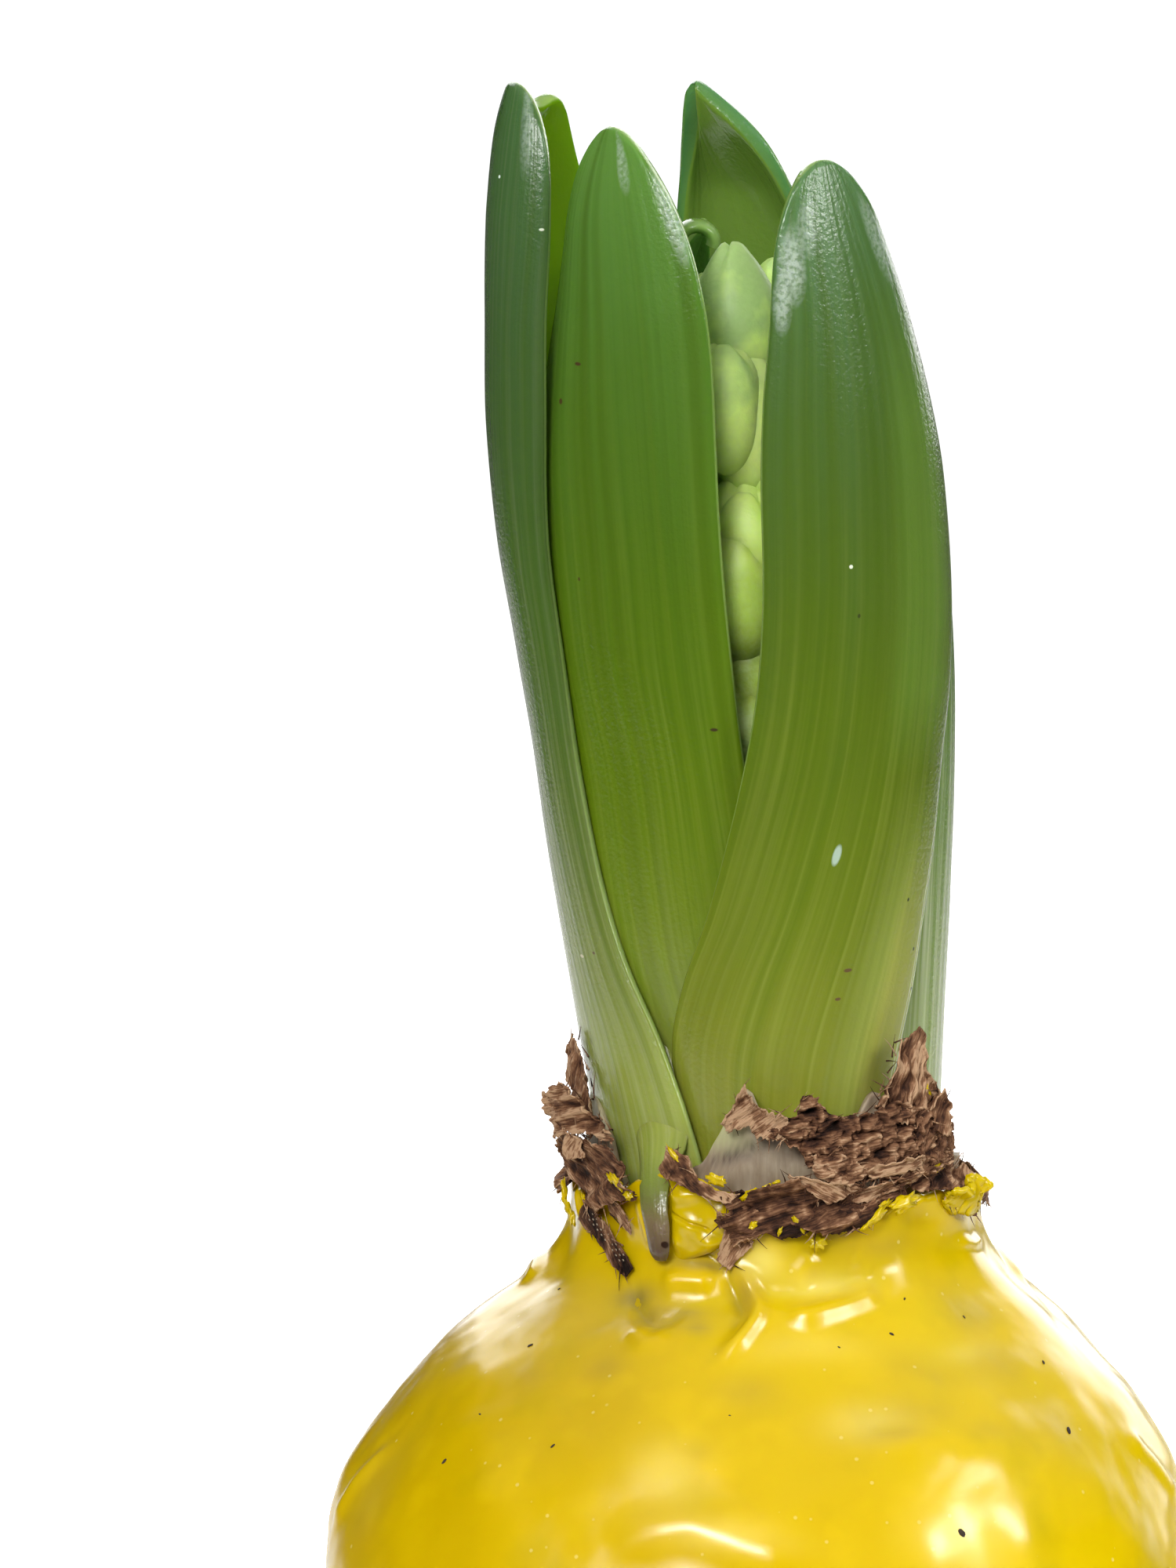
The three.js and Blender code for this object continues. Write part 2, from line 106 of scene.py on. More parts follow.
def facing(angle):
    # outwards at an angle, and sideways from there
    a = math.radians(angle)
    return Vector((math.cos(a), math.sin(a), 0)), Vector((-math.sin(a), math.cos(a), 0))


def turned(x, y, a):
    return x * math.cos(a) - y * math.sin(a), x * math.sin(a) + y * math.cos(a)


def spun(aside, upward, a):
    # two directions turned in their own plane
    return aside * math.cos(a) + upward * math.sin(a), upward * math.cos(a) - aside * math.sin(a)


def sheet(name, across, up, place):
    # a flat grid, then each of its corners is put in its place; place(u, v) is in millimetres
    bpy.ops.object.select_all(action="DESELECT")
    bpy.ops.mesh.primitive_grid_add(x_subdivisions=across, y_subdivisions=up, size=1)
    piece = bpy.context.object
    piece.name = name
    piece.data.name = name
    for corner in piece.data.vertices:
        corner.co = place(corner.co.x + 0.5, corner.co.y + 0.5) * mm
    return piece


def setMap(piece, name, place):
    # the piece's own UV map; place(u, v, corner) gives its new values
    layer = piece.data.uv_layers[0]
    layer.name = name
    for loop in piece.data.loops:
        u, v = layer.data[loop.index].uv
        layer.data[loop.index].uv = place(u, v, loop.vertex_index)


def copyOf(piece):
    # a copy with its own mesh
    twin = piece.copy()
    twin.data = piece.data.copy()
    bpy.context.collection.objects.link(twin)
    return twin


def closeSeams(piece):
    # corners within 4 micrometres of each other become one, and faces point outwards
    only(piece)
    bpy.ops.object.mode_set(mode="EDIT")
    bpy.ops.mesh.select_all(action="SELECT")
    bpy.ops.mesh.remove_doubles(threshold=0.004 * mm)
    bpy.ops.mesh.normals_make_consistent(inside=False)
    bpy.ops.object.mode_set(mode="OBJECT")


def only(piece):
    bpy.ops.object.select_all(action="DESELECT")
    piece.select_set(True)
    bpy.context.view_layer.objects.active = piece


def modify(piece, kind, **settings):
    only(piece)
    modifier = piece.modifiers.new(kind.lower(), kind)
    for key, value in settings.items():
        setattr(modifier, key, value)
    bpy.ops.object.modifier_apply(modifier=modifier.name)


def join(name, parts):
    bpy.ops.object.select_all(action="DESELECT")
    for part in parts:
        part.select_set(True)
    bpy.context.view_layer.objects.active = parts[0]
    bpy.ops.object.join()
    parts[0].name = name
    parts[0].data.name = name
    return parts[0]


def store(piece, name, values):
    # one number for each corner, for the material to read
    attribute = piece.data.attributes.new(name, "FLOAT", "POINT")
    attribute.data.foreach_set("value", values)


def groupToAttribute(piece, name):
    # modifiers write vertex groups, materials read attributes
    group = piece.vertex_groups[name]
    values = [0.0] * len(piece.data.vertices)
    for corner in piece.data.vertices:
        for g in corner.groups:
            if g.group == group.index:
                values[corner.index] = g.weight
    piece.vertex_groups.remove(group)
    store(piece, name, values)


def settle(piece, material, slot, *nodes):
    # the finished piece: material, smooth shading, its body, and the CAD nodes it stands for
    piece.data.materials.clear()
    piece.data.materials.append(material)
    only(piece)
    bpy.ops.object.transform_apply(location=True, rotation=True, scale=True)
    bpy.ops.object.shade_smooth()
    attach(piece, "root")
    if nodes:
        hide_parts(*nodes)
    triangles = sum(len(face.vertices) - 2 for face in piece.data.polygons)
    print("made", piece.name, triangles, "triangles")


def addNode(tree, kind, inputs=(), give=0, stops=(), **settings):
    # one node with its settings and links: inputs go in socket order or by name, and one output comes back
    node = tree.nodes.new("ShaderNode" + kind)
    for key, value in settings.items():
        setattr(node.color_ramp if key == "interpolation" else node, key, value)
    for socket, value in inputs.items() if isinstance(inputs, dict) else enumerate(inputs):
        if isinstance(value, bpy.types.NodeSocket):
            tree.links.new(value, node.inputs[socket])
        else:
            node.inputs[socket].default_value = value
    for number, (place, code) in enumerate(stops):
        elements = node.color_ramp.elements
        stop = elements[number] if number < 2 else elements.new(place)  # a new ramp has two stops
        stop.position = place
        stop.color = linear(code)
    return node.outputs[give] if node.outputs else node


def scaleOf(size):
    # a pattern's scale in object coordinates, from its size in millimetres
    return round(1 / (size * mm), -1)


def newPaint(name):
    # an empty material, and what adds a node to it
    paint = bpy.data.materials.new(name)
    paint.use_nodes = True
    paint.node_tree.nodes.clear()
    return paint, functools.partial(addNode, paint.node_tree)


def finishPaint(add, sockets):
    add("OutputMaterial", [add("BsdfPrincipled", sockets)])


def layered(add, body, layers):
    # colours laid over one another, each through the product of its masks
    for masks, colour in layers:
        share = masks[0]
        for mask in masks[1:]:
            share = add("Math", [share, mask], operation="MULTIPLY")
        top = linear(colour) if isinstance(colour, str) else colour
        body = add("Mix", {0: share, 6: body, 7: top}, give=2, data_type="RGBA")
    return body


# Camera, studio and floor

studio = {
    "cameraAt": (-12.7, -792.2, 199.2),  # 0.8 m from the middle of the picture, 8 degrees above it
    "cameraTilt": 82,
    "lens": 249.1,
    "backdrop": 3.2,  # how bright the white wall behind is
    "ceiling": 0.45,
    # azimuth from straight behind towards the right, height angle, half width and height as sines, strength
    "softboxes": [(118, 25, 0.3, 0.31, 6.0), (123, 25, 0.16, 0.18, 13.0),
                  (-160, 30, 0.46, 0.36, 6.2), (-161, 29, 0.2, 0.17, 20.0)],
    # a weak card on the left
    "card": {"azimuth": -100, "height": 25, "wide": 600, "high": 500, "distance": 700, "watts": 0.6},
    "floorSide": 12000,
}


def aimed(azimuth, height):
    a, e = math.radians(azimuth), math.radians(height)
    return Vector((math.sin(a) * math.cos(e), math.cos(a) * math.cos(e), math.sin(e)))


bpy.context.scene.view_settings.view_transform = "Standard"
bpy.ops.object.camera_add(
    location=[x * mm for x in studio["cameraAt"]],
    rotation=(math.radians(studio["cameraTilt"]), 0, 0),
)
camera = bpy.context.object
camera.data.lens = studio["lens"]
camera.data.sensor_width = 36
camera.data.clip_end = 50
bpy.context.scene.camera = camera

card = studio["card"]
toCard = aimed(card["azimuth"], card["height"])
bpy.ops.object.light_add(type="AREA", location=(Vector((0, 0, 75)) + toCard * card["distance"]) * mm)
lamp = bpy.context.object
lamp.name = "fillCard"
lamp.rotation_euler = toCard.to_track_quat("Z", "Y").to_euler()
lamp.data.shape = "RECTANGLE"
lamp.data.size = card["wide"] * mm
lamp.data.size_y = card["high"] * mm
lamp.data.energy = card["watts"]
lamp.visible_camera = False
lamp.visible_glossy = False

world = bpy.data.worlds.new("whiteStudio")
bpy.context.scene.world = world
world.use_nodes = True
world.node_tree.nodes.clear()
add = functools.partial(addNode, world.node_tree)
toWhere = add("TexCoord", give="Generated")
right, behind, up = add("SeparateXYZ", [toWhere]).node.outputs
# the wall's left edge leans out from 13 degrees at the floor to 38 at its top; it ends 50 degrees right
lean = add("Math", [up, 0.75, right], operation="MULTIPLY_ADD")
leftEdge = add("MapRange", [add("Math", [behind, 0.2, lean], operation="MULTIPLY_ADD"), -0.03, 0.03])
rightEdge = add("MapRange", [add("Math", [right, -0.9, behind], operation="MULTIPLY_ADD"), -0.1, 0.3])
topEdge = add("MapRange", [up, 0.5, 0.7, 1.0, 0.0])
wall = add("MapRange", [behind, 0.0, 0.1])
for edge in (leftEdge, rightEdge, topEdge):
    wall = add("Math", [wall, edge], operation="MULTIPLY")
farRight = add("MapRange", [right, 0.1, 0.5])
rightHigh = add("Math", [farRight, add("MapRange", [up, 0.2, 0.6])], operation="MULTIPLY")
overhead = add("Math", [add("MapRange", [up, 0.55, 0.9]), rightHigh], operation="MAXIMUM")
room = add("Math", [overhead, studio["ceiling"]], operation="MULTIPLY")
strength = add("Math", [wall, studio["backdrop"], room], operation="MULTIPLY_ADD")
for azimuth, height, wide, high, bright in studio["softboxes"]:
    # a lit cloth that fades towards its edges
    middle = aimed(azimuth, height)
    aside = middle.cross(Vector((0, 0, 1))).normalized()
    ahead = add("VectorMath", [toWhere, middle], "Value", operation="DOT_PRODUCT")
    patch = add("MapRange", [ahead, 0.3, 0.5])
    for way, half in ((aside, wide), (aside.cross(middle), high)):
        off = add("VectorMath", [toWhere, way], "Value", operation="DOT_PRODUCT")
        off = add("Math", [off], operation="ABSOLUTE")
        fade = add("MapRange", [off, half, half * 0.35], interpolation_type="SMOOTHSTEP")
        patch = add("Math", [patch, fade], operation="MULTIPLY")
    strength = add("Math", [patch, bright, strength], operation="MULTIPLY_ADD")
lighting = add("Background", {"Color": linear("#ffffff"), "Strength": strength})
plainWhite = add("Background", {"Color": linear("#ffffff"), "Strength": 1.0})
add("OutputWorld", [add("MixShader", [add("LightPath", give="Is Camera Ray"), lighting, plainWhite])])

bpy.ops.mesh.primitive_plane_add(size=studio["floorSide"] * mm)
floor = bpy.context.object
floor.name = "studioFloor"
floorPaint, add = newPaint("mattWhiteFloor")  # smooth white card, even and dull
where = add("TexCoord", give="Object")
fromBulb = add("VectorMath", [where], "Value", operation="LENGTH")
# the studio is dark in front: the floor is painted darker there, as painted shade, so the card sends little
# light back from there
behind = add("SeparateXYZ", [where], "Y")
paintedShadeInFront = add("MapRange", [add("Math", [behind, -0.6, fromBulb], operation="MULTIPLY_ADD"), 0.16, 0.34])
grain = add("TexNoise", {"Scale": scaleOf(2.5)})
paper = layered(add, linear("#f6f6f4"), [([grain], "#fbfbfa"), ([paintedShadeInFront], "#3a3a39")])
# to the camera it fades to the white of the photographer's sweep, a hand's width from the bulb
glow = add("MapRange", [fromBulb, 0.05, 0.17, 0.1, 1.0])
glow = add("Math", [glow, add("LightPath", give="Is Camera Ray")], operation="MULTIPLY")
finishPaint(add, {"Base Color": paper, "Roughness": 0.9, "Specular IOR Level": 0.1,
                  "Emission Color": linear("#ffffff"), "Emission Strength": glow})
floor.data.materials.append(floorPaint)
print("studio ready")


# Shapes that the CAD source gives

bulbShape = {
    "radius": 32.5,
    "waist": 26,
    "foot": 13.5,
    "neck": 14.9,
    "neckShift": 1.1,
    "waxThickness": 1.5,
    "waxAtNeck": 0.8,
    "rim": 57,
    "rimPeaks": [(4.3, 247, 6), (1.4, 226, 5), (0.6, 350, 8), (1.3, 96, 14)],  # rise, angle, width
    "collar": 60.3,
    "collarPeaks": [(6.2, 262, 12), (5.4, 188, 9), (4, 322, 10), (2.2, 70, 25), (-1.2, 237, 6)],
    "fit": 0.3,
    "shoulder": [
        [26, 32.5], [32, 31.9], [37, 30.3], [41.6, 27.5], [45.9, 23.6],
        [48.9, 20.2], [51.3, 17.3], [53.5, 15.6], [56, 14.9], [62, 15.2],
    ],
}


def axisShift(z):
    # the neck stands a little to the right of the foot
    return bulbShape["neckShift"] * ease(30, 52, z)


def shootAxis(z):
    # above the neck the shoot leans to the left
    return bulbShape["neckShift"] - 2.7 * clamp01((z - 60) / 70)


def waxRadius(z):
    # an ellipse below the waist, then the shoulder
    if z >= bulbShape["waist"]:
        return along(bulbShape["shoulder"], z, 1)
    foot = math.sqrt(1 - (bulbShape["foot"] / bulbShape["radius"]) ** 2)
    drop = (bulbShape["waist"] - max(z, 0)) / bulbShape["waist"] * foot
    return bulbShape["radius"] * math.sqrt(1 - drop * drop)


def waxSwell(angle, z):
    # slow waves round the bulb, and folds round its neck
    a = math.radians(angle)
    broad = 0.34 * math.sin(3 * a + 1.3 + z * 0.06)
    waves = 0.26 * math.sin(5 * a - z * 0.13) + 0.17 * math.sin(8 * a + z * 0.21)
    neckFolds = 0.22 * ease(44, 54, z) * (1 + math.sin(11 * a + z * 0.35))
    return (broad + waves) * ease(2, 14, z) * (1 - ease(44, 54, z)) + neckFolds


def peaked(line, peaks, angle):
    # an edge's height at an angle, with its peaks
    for rise, at, width in peaks:
        line += rise * peak(angle, at, width)
    return line


def waxRim(angle):
    return peaked(bulbShape["rim"], bulbShape["rimPeaks"], angle) + 0.5 * math.sin(math.radians(7 * angle))


def collarRadius(z):
    # the neck inside the wax widens a little above 59 mm; its dry scale closes in again above 61.5 mm
    neck = bulbShape["neck"] - bulbShape["waxAtNeck"] - bulbShape["fit"]
    return neck + 0.14 * max(0, z - 59) - 0.2 * max(0, z - 61.5)


def waxPlain(angle, z, lift=0.0):
    # a point of the CAD's wax face, moved outwards by lift
    low = max(z - 0.2, 0)
    slope = (waxRadius(low + 0.4) - waxRadius(low)) / 0.4
    length = math.hypot(1, slope)
    r = waxRadius(z) + waxSwell(angle, z) + lift / length
    return polar(angle, r, z - lift * slope / length, axisShift(z))


# Wax coat

waxCoat = {
    "columns": 400,
    "heights": [[0, 0.0], [0.16, 10], [0.36, 30], [0.6, 44], [1, 57]],  # share of the rows, height
    "outerRows": 140,
    "lipRows": 5,
    "innerHeights": [55, 52.5, 50, 47, 43, 37, 29, 20, 11, 4.5],
    "rimRagged": 0.35,
    "followsRimFrom": 50,
    # smooth swellings and dents: angle, height, width round, width up, turn, rise
    "bumps": [
        (198, 46, 11, 7, 0, 0.55), (182, 36.5, 5, 4, 0, 0.5), (252, 41.5, 8, 5, -10, 0.5),
        (256.5, 43.4, 1.3, 2.4, 24, -0.34), (259.5, 42.0, 1.6, 1.3, 0, 0.28),
        (287, 45.6, 3.2, 2.6, 15, -0.4), (299, 43.0, 6, 2.2, -8, 0.3), (306, 48.6, 7, 3, 20, -0.35),
        (318, 45.5, 4, 2.5, 0, -0.3), (299.5, 34.8, 3.0, 5, 0, -0.3), (293, 36.0, 2.4, 3.6, 8, 0.28),
        (306, 36.0, 2.4, 3.6, -10, 0.28), (273.4, 38.9, 2.2, 1.8, 0, 0.16), (324, 46.7, 4.4, 2.4, 0, 0.35),
        (336, 49.0, 4.5, 3.4, 0, 0.5), (344, 42.5, 5, 4, 0, 0.4), (277.5, 53.0, 5.0, 1.3, 0, -0.6),
        (292, 53.7, 3.2, 1.3, 0, -0.35), (225, 50.8, 3.6, 2.4, 0, -0.25), (215, 44, 9, 7, 20, -0.35),
        (232, 41, 9, 6, 0, 0.25), (20, 45, 9, 6, 10, 0.4), (55, 40, 10, 7, -15, -0.4),
        (95, 46, 8, 6, 0, 0.4), (130, 42, 9, 6, 12, -0.35), (160, 47, 8, 5, 0, 0.35),
        (40, 20, 14, 9, 0, 0.4), (110, 24, 12, 10, 0, -0.4), (200, 16, 14, 9, 0, 0.4),
        (290, 20, 13, 9, 0, -0.35),
    ],
    # rolls and creases: points of angle and height, width, rise
    "ridges": [
        ([(258.6, 54.6), (262.2, 53.2), (265.2, 51.9), (264.6, 50.9), (261.8, 49.6), (257.8, 48.2)],
         0.75, 0.95),
        ([(255.8, 54.2), (259.5, 52.6), (261.6, 51.3), (259.6, 50.0)], 0.6, -0.4),
        ([(270.6, 51.4), (277, 51.2), (284, 51.7), (291, 52.3), (298, 52.8)], 1.15, 0.85),
        ([(275.5, 53.0), (277, 54.2), (280.5, 55.4)], 0.8, 0.3),
        ([(290, 54.9), (293.5, 54.4), (296.5, 53.8)], 0.7, 0.25),
        ([(238.5, 52.9), (243, 53.4), (248, 53.4), (253.5, 53.3)], 0.95, 0.7),
        ([(228.5, 53.0), (232, 51.8), (236, 51.0), (240.5, 50.4), (244.5, 51.0), (248.5, 51.6)], 0.55, -0.42),
        ([(236, 50.2), (241, 49.3), (246.5, 49.7)], 0.8, 0.3),
        ([(240.5, 55.2), (246, 55.6), (251.5, 55.0), (255.5, 54.4)], 0.5, -0.4),
        ([(246.5, 36.2), (252, 37.4), (258.8, 38.0), (264.5, 37.3), (270, 36.5), (275.5, 36.4)], 1.5, 0.42),
        ([(284.5, 47.2), (281.6, 45.6), (284, 44.0), (290.6, 43.5), (297, 43.4)], 1.0, 0.26),
        ([(289, 47.6), (296, 47.4), (301.5, 46.6)], 1.3, 0.24),
        ([(329, 55.0), (340, 54.4), (352, 54.2)], 0.4, 0.3),
        ([(229.5, 59.4), (231.0, 58.0), (232.4, 56.6), (234.4, 55.4)], 0.45, 0.55),
        ([(190, 33), (192, 36.5), (197, 40)], 0.8, 0.35),
        ([(350, 35), (345, 38.5), (339, 41)], 0.9, 0.35),
        ([(30, 53), (44, 51.5), (58, 52.6)], 0.8, 0.5), ([(80, 50), (92, 51.6), (104, 50.2)], 0.9, 0.5),
        ([(120, 53), (134, 51.4), (150, 52.8)], 0.8, 0.5), ([(165, 50.5), (176, 51.6), (186, 51)], 0.8, 0.4),
        ([(5, 50), (15, 51.8), (24, 50.6)], 0.8, 0.4),
    ],
    # the broken rim in front: angle, height
    "brokenRim": [
        [170, 57.0], [188.9, 57.4], [196, 56.6], [200.2, 56.3], [207, 57.2], [213.6, 58.3], [220.7, 59.0],
        [228.4, 59.8], [233, 60.6], [239, 60.8], [246, 60.2], [252.8, 59.6], [257, 58.6], [262, 57.2],
        [268, 57.0], [280, 57.2], [292.8, 57.6], [303.5, 58.2], [315.6, 58.7], [325.9, 58.9], [336.1, 58.8],
        [345, 58.3], [360, 57.2],
    ],
    # soft stains, some of them painted shade in the creases under the folds by the neck, and painted
    # highlights where the lamps catch ridges and bumps: angle, height, width round, width up, strength
    "stain": [
        (234, 52.2, 2.4, 0.8, 0.45), (240, 50.6, 2.2, 0.6, 0.5), (247, 51.4, 1.8, 0.6, 0.5),
        (262, 52.4, 1.0, 1.8, 0.6), (249, 54.5, 2.4, 0.45, 1.0), (228, 50.4, 5, 3.5, 0.2),
        (205, 50, 4, 4, 0.3), (300, 47.5, 5, 3, 0.22), (318, 47.5, 3, 2, 0.3), (200, 36, 3, 5, 0.25),
        (322, 43, 3, 3, 0.25), (292, 45.2, 5, 1.6, 0.2), (300, 55.6, 4, 1.2, 0.3),
        (199, 45.7, 1.8, 1.6, 0.35), (220, 46.6, 1.8, 1.5, 0.32), (235, 47.6, 1.6, 1.2, 0.28),
        (265, 46.7, 2.6, 1.6, 0.22), (229, 51.8, 1.4, 1.0, 0.35), (239, 51.2, 1.6, 0.7, 0.4),
        (251.7, 50.5, 1.0, 0.6, 0.45), (288.6, 43.8, 2.4, 0.8, 0.3), (321, 50.2, 2.4, 1.4, 0.3),
        (305, 43.6, 2.0, 1.0, 0.2),
    ],
    "pale": [
        (286, 44.8, 3.0, 1.6, 0.4), (254, 41.1, 2.6, 2.4, 0.42), (265.3, 55.0, 1.6, 1.4, 0.6),
        (284, 53.2, 3.0, 1.0, 0.5), (298, 36.5, 3.4, 3.0, 0.4), (276, 49.5, 4.0, 1.4, 0.2),
        (262, 37.5, 4.5, 1.2, 0.35), (312, 48.5, 2.4, 1.0, 0.25),
    ],
}


def waxFrame(angle, z):
    # a place on the wax, with its directions round and up the slope
    at = waxPlain(angle, z)
    aside = (waxPlain(angle + 0.5, z) - at).normalized()
    upward = (waxPlain(angle, z + 0.3) - at).normalized()
    return at, aside, upward


def spotOn(angle, z, wide, high, turn, rise):
    # a soft oval spot on the wax: its place, its two directions, its half sizes and its height
    at, aside, upward = waxFrame(angle, z)
    return at, *spun(aside, upward, math.radians(turn)), wide, high, rise


def spotted(point, spots):
    # what the spots add up to at a point
    total = 0.0
    for at, aside, upward, wide, high, rise in spots:
        away = point - at
        if away.length_squared < (3 * max(wide, high)) ** 2:
            total += rise * math.exp(-(away.dot(aside) / wide) ** 2 - (away.dot(upward) / high) ** 2)
    return total


bumpSpots = [spotOn(*bump) for bump in waxCoat["bumps"]]
ridgeLines = []
for points, width, rise in waxCoat["ridges"]:
    line = [waxPlain(angle, z) for angle, z in points]
    middle = line[len(line) // 2]
    reach = max((p - middle).length for p in line) + 4 * width
    ridgeLines.append((line, middle, reach, width, rise))


def ridgeRise(line, width, rise, point):
    # a rounded roll along a line, lower towards its ends
    best, place = 1e9, 0.0
    for k in range(len(line) - 1):
        a, b = line[k], line[k + 1]
        span = b - a
        t = clamp01((point - a).dot(span) / span.length_squared)
        away = (a + span * t - point).length
        if away < best:
            best, place = away, (k + t) / (len(line) - 1)
    ends = ease(0, 0.22, place) * (1 - ease(0.78, 1, place))
    return rise * (0.25 + 0.75 * ends) * math.exp(-(best / width) ** 2)


def waxRelief(angle, z):
    # how far the finished wax stands outside the CAD's, in millimetres
    point = waxPlain(angle, z)
    total = spotted(point, bumpSpots)
    for height, size, shift in ((0.30, 13, 7), (0.10, 5, 31), (0.022, 1.7, 3)):
        total += height * rough(point.x / size, point.y / size, point.z / size + shift, 2)
    for line, middle, reach, width, rise in ridgeLines:
        if (point - middle).length_squared < reach * reach:
            total += ridgeRise(line, width, rise, point)
    return total * ease(0, 5, z)


def roundRough(angle, often, height, octaves):
    # smooth random value that closes on itself round the bulb
    x, y, _ = polar(angle, often, 0)
    return rough(x, y, height, octaves)


def finishedRim(angle):
    inFront = ease(172, 182, angle) * (1 - ease(346, 356, angle))
    line = mix(waxRim(angle), along(waxCoat["brokenRim"], angle, 1), inFront)
    return line + waxCoat["rimRagged"] * roundRough(angle, 9, 4.0, 3)


def waxStretched(angle, h):
    # heights near the rim follow it
    start = waxCoat["followsRimFrom"]
    if h <= start:
        return h
    return mix(start, finishedRim(angle), (h - start) / (bulbShape["rim"] - start))


def waxDepth(z):
    return mix(bulbShape["waxThickness"], bulbShape["waxAtNeck"], ease(44, 55, z))


# rows of the shell's grid: height, and how far round the lip to the inside
outerRows, lipRows = waxCoat["outerRows"], waxCoat["lipRows"]
waxRows = [(along(waxCoat["heights"], k / outerRows, 1), 0.0) for k in range(outerRows + 1)]
waxRows += [(bulbShape["rim"], k / lipRows) for k in range(1, lipRows + 1)]
waxRows += [(h, 1.0) for h in waxCoat["innerHeights"]]


def waxCorner(u, v):
    row = round(v * (len(waxRows) + 1)) - 1
    angle = u * 360
    if row < 0:
        return Vector((0, 0, 0))
    if row == len(waxRows):
        return Vector((0, 0, bulbShape["waxThickness"]))
    if row == 0:
        return polar(angle, bulbShape["foot"], 0)
    h, inside = waxRows[row]
    z = waxStretched(angle, h)
    depth = waxDepth(z)
    if inside == 1:
        return waxPlain(angle, z, -depth)
    # the lip is rounded
    swing = math.pi * inside
    corner = waxPlain(angle, z, mix(waxRelief(angle, z), -depth, (1 - math.cos(swing)) / 2))
    corner.z += 0.45 * depth * math.sin(swing)
    return corner


wax = sheet("waxCoat", waxCoat["columns"], len(waxRows) + 1, waxCorner)
closeSeams(wax)
for name in ("stain", "pale"):
    spots = [spotOn(angle, z, wide, high, 0, strength) for angle, z, wide, high, strength in waxCoat[name]]
    store(wax, name, [min(spotted(corner.co / mm, spots), 1.0) for corner in wax.data.vertices])

# Candle wax, dyed yellow and dipped: a clear gloss over a body that light enters a little way
waxPaint, add = newPaint("dippedYellowWax")
where = add("TexCoord", give="Object")
cloudy = add("TexNoise", {"Vector": where, "Scale": scaleOf(14.3), "Detail": 3.0})
patchy = add("TexNoise", {"Vector": where, "Scale": scaleOf(5.26), "Detail": 2.0})
mottled = add("TexNoise", {"Vector": where, "Scale": scaleOf(8.33), "Detail": 3.0})
# painted light and shade: the wax is coloured lighter towards the right, where the lamps fall, and darker on
# the left
paintedLightRightward = add("MapRange", [add("SeparateXYZ", [where]), -0.028, 0.026, 0.0, 0.4])
tone = add("Math", [cloudy, 0.5, paintedLightRightward], operation="MULTIPLY_ADD")
uneven = add("MapRange", [patchy, 0.2, 0.7, 0.6, 1.0])
pale, stain = (add("Attribute", give="Fac", attribute_name=name) for name in ("pale", "stain"))
# dust in the wax, 0.1 mm grains drawn at 0.25 mm so that they show
dust = add("TexVoronoi", {"Vector": where, "Scale": scaleOf(1.11)}, "Distance", feature="F1")
rare = add("MapRange", [add("SeparateColor", [dust.node.outputs["Color"]]), 0.80, 0.82])
body = add("ValToRGB", [tone], stops=[(0.1, "#b08f00"), (0.45, "#c8a800"), (0.8, "#dabd00")])
body = layered(add, body, [
    ([add("MapRange", [patchy, 0.52, 0.8, 0.0, 0.35])], "#e0be0a"),
    ([add("MapRange", [mottled, 0.54, 0.74, 0.0, 0.4])], "#a2920a"),
    # painted highlights: cream where the lamps catch ridges and bumps
    ([pale, uneven], "#f6e27a"),
    # dirt stains, and painted shade in the creases under the folds by the neck
    ([stain, uneven], "#857440"),
    ([add("MapRange", [dust, 0.10, 0.16, 0.22, 0.0]), rare], "#fff2a8"),
])
fine = add("TexNoise", {"Vector": where, "Scale": scaleOf(1.43), "Detail": 2.0})
finishPaint(add, {
    "Base Color": body, "Roughness": add("MapRange", [cloudy, 0.3, 0.7, 0.15, 0.21]), "IOR": 1.45,
    "Normal": add("Bump", {"Height": fine, "Strength": 0.25, "Distance": 0.00005}),
    "Subsurface Weight": 0.25, "Subsurface Radius": (1.0, 0.7, 0.08), "Subsurface Scale": 0.003,
})
settle(wax, waxPaint, "yellow_wax", "wax_coat")


# Bulb with its pale neck

bulbTable = {
    "columns": 210, "rows": 74, "thickness": 0.5, "ragged": 0.9,
    "foot": 3.5, "shoulder": 52, "rowsBelow": 0.35,  # the share of the rows that is below the shoulder
    "inWax": 0.45,  # gap to the wax
    # the torn top of the dry neck scale in front: angle, height
    "edge": [
        [172, 62.0], [180, 66.4], [184, 66.8], [187, 66.2], [193, 65.4], [198, 64.7], [203, 63.7],
        [209, 61.9], [212, 60.4], [217, 58.6], [225, 58.4], [236, 59.4], [243, 61.2], [248, 62.2],
        [252, 64.0], [257, 66.2], [260.6, 67.4], [264, 66.2], [268, 64.8], [275, 64.4], [290, 64.6],
        [296, 65.2], [300, 66.6], [303, 66.8], [306, 65.4], [315, 63.6], [322, 61.2], [330, 58.8],
        [340, 58.2], [355, 58.4],
    ],
    # where the scale is brown and torn: angle, height, radius, strength
    "torn": [(250, 62.0, 0.7, 0.8), (254, 62.2, 1.3, 0.9), (258, 62.6, 1.3, 1.0), (262, 63.2, 1.2, 1.0),
             (266, 63.4, 1.0, 0.9), (257, 60.6, 2.0, 0.4), (248, 61.3, 1.2, 0.5), (272, 62.6, 1.2, 0.3)],
}


def neckEdge(angle):
    inFront = ease(172, 180, angle) * (1 - ease(344, 354, angle))
    collar = peaked(bulbShape["collar"], bulbShape["collarPeaks"], angle)
    behind = mix(58.6, min(collar, 60.8), ease(10, 40, angle))
    line = mix(behind, along(bulbTable["edge"], angle, 1), inFront)
    return line + mix(0.5, 0.22, inFront) * bulbTable["ragged"] * roundRough(angle, 16, 2.0, 4)


def insideWax(angle, z, depthAt):
    return waxPlain(angle, z, -waxDepth(depthAt) - bulbTable["inWax"])


